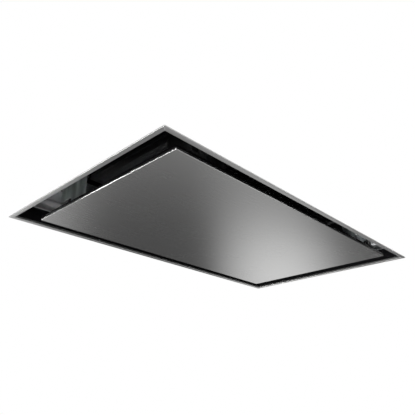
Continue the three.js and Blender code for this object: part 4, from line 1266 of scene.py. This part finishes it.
@dataclass
class Ceiling:
    """The ceiling that the hood hangs in: a board cut out for the body and rebated for the seal."""

    half_size: float = 4.0
    rebate: Pair = (900.4 * MM, 500.4 * MM)
    cut_out: Pair = (884 * MM, 484 * MM)
    lean: float = 0.02 * MM  # How far the walls of the rebate and the cut-out lean.
    underside: float = 1.6 * MM
    seal_depth: float = 1.8 * MM
    board: float = 12.5 * MM
    back_glow: float = 0.45

    def build(self) -> None:
        """Makes the board and paints its two faces."""
        bm = bmesh.new()
        bmesh.ops.create_grid(bm, x_segments=1, y_segments=1, size=self.half_size)
        middle = next(iter(bm.faces))
        floor = tuple(size - self.lean for size in self.rebate)
        for size, height in ((self.rebate, 0.0), (floor, self.seal_depth), (self.cut_out, self.seal_depth)):
            inset(bm, middle, self.lean)
            for vert in middle.verts:
                vert.co.x = math.copysign(size[0] / 2, vert.co.x)
                vert.co.y = math.copysign(size[1] / 2, vert.co.y)
                vert.co.z = height
        bmesh.ops.delete(bm, geom=[middle], context="FACES")
        raised(bm, bm.faces[:], self.board, True)
        moved(bm, Matrix.Translation((0, 0, self.underside)))
        bmesh.ops.recalc_face_normals(bm, faces=bm.faces)
        mesh = mesh_of(bm, "ceiling")
        mesh.materials.append(self._paint("ceiling_paint", 1.0))
        mesh.materials.append(self._paint("board_back", self.back_glow))
        for polygon in mesh.polygons:
            polygon.material_index = 1 if polygon.normal.z > 0.5 else 0
        ceiling = linked("ceiling", mesh)

    @staticmethod
    def _paint(name: str, glow: float) -> Material:
        """Makes white paint that shows to the camera and in metal at a given level.

        Args:
            name: Name of the material.
            glow: The level, where 1 is white.

        Returns:
            The material.
        """
        material = bpy.data.materials.new(name)
        material.use_nodes = True
        graph = Graph(material.node_tree)
        path = graph.add("LightPath")
        seen = (path["Is Camera Ray"] + path["Is Glossy Ray"] + path["Is Transmission Ray"]) > 0.5
        paint = graph.add("BsdfDiffuse", inputs={"Color": _rgba((0.8,) * 3)})["BSDF"]
        white = graph.add("Emission", inputs={"Color": _rgba((1.0,) * 3), "Strength": 1.0})
        inputs = {0: seen * glow, 1: paint, 2: white["Emission"]}
        mixed = graph.add("MixShader", inputs=inputs)
        graph.add("OutputMaterial", inputs={"Surface": mixed["Shader"]})
        return material


@dataclass(frozen=True)
class SoftBox:
    """A tall soft light of the studio, as a band of the world round the horizon.

    Its azimuth runs from +X towards +Y, in degrees. The share called steep is what is left of its
    radiance steeply below the horizon.
    """

    azimuth: float
    half_width: float
    radiance: float
    steep: float = 1.0
    side_falloff: float = 1.2
    fade_depth: float = 0.25
    fade_rate: float = 2.6

    def seen(self, graph: Graph, heading: Signal, rise: Signal) -> Signal:
        """Its light in a direction.

        Args:
            graph: The world's graph.
            heading: The direction, laid level.
            rise: Its upright part, from -1 straight down to 1.

        Returns:
            The light.
        """
        angle = math.radians(self.azimuth)
        towards = (math.cos(angle), math.sin(angle), 0.0)
        aligned = graph.vector("DOT_PRODUCT", heading, towards)["Value"]
        edge = math.cos(math.radians(self.half_width))
        band = ((aligned - edge) / (1 - edge)).at_least(0.0) ** self.side_falloff * self.radiance
        if self.steep == 1.0:
            return band
        fading = ((rise + self.fade_depth) * self.fade_rate + 1.0).at_least(self.steep)
        return band * fading.at_most(1.0)


@dataclass(frozen=True)
class Lamp:
    """A square soft lamp, in metres and watts. Its spread is its beam's full angle, in degrees."""

    name: str
    place: Triple
    aim: Triple
    size: float
    power: float
    spread: float = 180.0

    def build(self) -> None:
        """Makes the lamp, which the camera doesn't see."""
        light = bpy.data.lights.new(self.name, "AREA")
        light.size, light.energy, light.spread = self.size, self.power, math.radians(self.spread)
        lamp = linked(self.name, light)
        lamp.location = self.place
        beam = Vector(self.aim) - Vector(self.place)
        lamp.rotation_euler = beam.to_track_quat("-Z", "Y").to_euler()
        lamp.visible_camera = False


@dataclass
class Studio:
    """Soft light from all round, an even sky above the ceiling, and lamps that reach into the recess.

    Everything below the horizon gives dim light, and what is straight below gives the floor's.
    """

    dim: float = 0.06
    floor: float = 0.7
    floor_power: float = 4.0
    above: float = 0.62
    boxes: tuple[SoftBox, ...] = (
        SoftBox(32.7, 9.8, 0.93, 0.25),
        SoftBox(24, 9, 0.09),
        SoftBox(86, 28, 1.0, 0.85),
        SoftBox(117.8, 0.7, 14.0, 0.0),
        SoftBox(130, 4, 16.0),
        SoftBox(-38, 10, 1.6),
        SoftBox(-100, 40, 0.5),
        SoftBox(185, 34, 0.8),
    )
    lamps: tuple[Lamp, ...] = (
        Lamp("soft_key", (-2.2, -0.7, -1.0), (0.0, 0.0, 0.0), 0.9, 30.0),
        Lamp("left_fill", (-1.9, -0.5, -1.45), (-0.35, 0.17, 0.07), 0.15, 0.08, 4.0),
        Lamp("right_fill", (-0.3, -1.7, -1.35), (0.37, -0.2, 0.05), 0.12, 0.10, 3.0),
    )

    def build(self) -> None:
        """Makes the world and the lamps."""
        world = bpy.data.worlds.new("studio")
        bpy.context.scene.world = world
        world.use_nodes = True
        graph = Graph(world.node_tree)
        direction = graph.add("TexCoord")["Generated"]
        level = graph.vector("MULTIPLY", direction, (1.0, 1.0, 0.0))["Vector"]
        heading = graph.vector("NORMALIZE", level)["Vector"]
        rise = graph.axes(direction)[2]
        below = rise ** self.floor_power * self.floor + self.dim
        for box in self.boxes:
            below = below + box.seen(graph, heading, rise)
        up = rise > 0.0
        light = below * (1 - up) + up * self.above
        camera = graph.add("LightPath")["Is Camera Ray"]
        inputs = {"Color": _rgba((1.0,) * 3), "Strength": light * (1 - camera) + camera}
        back = graph.add("Background", inputs=inputs)
        graph.add("OutputWorld", inputs={"Surface": back["Background"]})
        for lamp in self.lamps:
            lamp.build()


@dataclass
class PhotoCamera:
    """The photograph's camera, fitted to the corners of the trim."""

    place: Triple = (-0.8326, -0.6768, -0.3848)
    azimuth: float = 44.651
    elevation: float = 23.832
    focal_pixels: float = 460.39
    image_pixels: float = 415.0
    centre_x: float = 188.0
    sensor: float = 36.0

    def build(self) -> None:
        """Sets the camera up and makes it the scene's own."""
        data = bpy.data.cameras.new("photo_camera")
        data.sensor_width = self.sensor
        data.lens = self.focal_pixels * self.sensor / self.image_pixels
        data.shift_x = (self.image_pixels / 2 - self.centre_x) / self.image_pixels
        data.clip_start, data.clip_end = 0.02, 50.0
        camera = linked("photo_camera", data)
        around, up = math.radians(self.azimuth), math.radians(self.elevation)
        gaze = Vector((math.cos(up) * math.cos(around), math.cos(up) * math.sin(around), math.sin(up)))
        camera.location = self.place
        camera.rotation_euler = gaze.to_track_quat("-Z", "Y").to_euler()
        bpy.context.scene.camera = camera


def main() -> None:
    """Builds the hood, its stage and its light."""
    logging.basicConfig(level=logging.INFO, format="%(name)s: %(message)s")
    bpy.context.scene.view_settings.view_transform = "Standard"
    PhotoCamera().build()
    for assembly in (
        Trim(), Recess(), PanelCarrier(), CoverPanel(), GreaseFilter("left"), GreaseFilter("right"),
        Blower(), DuctOutlet(), Electronics(), Hangers(),
    ):
        LOG.info("building %s", type(assembly).__name__)
        assembly.build()
    Ceiling().build()
    Studio().build()


if __name__ == "__main__":
    main()
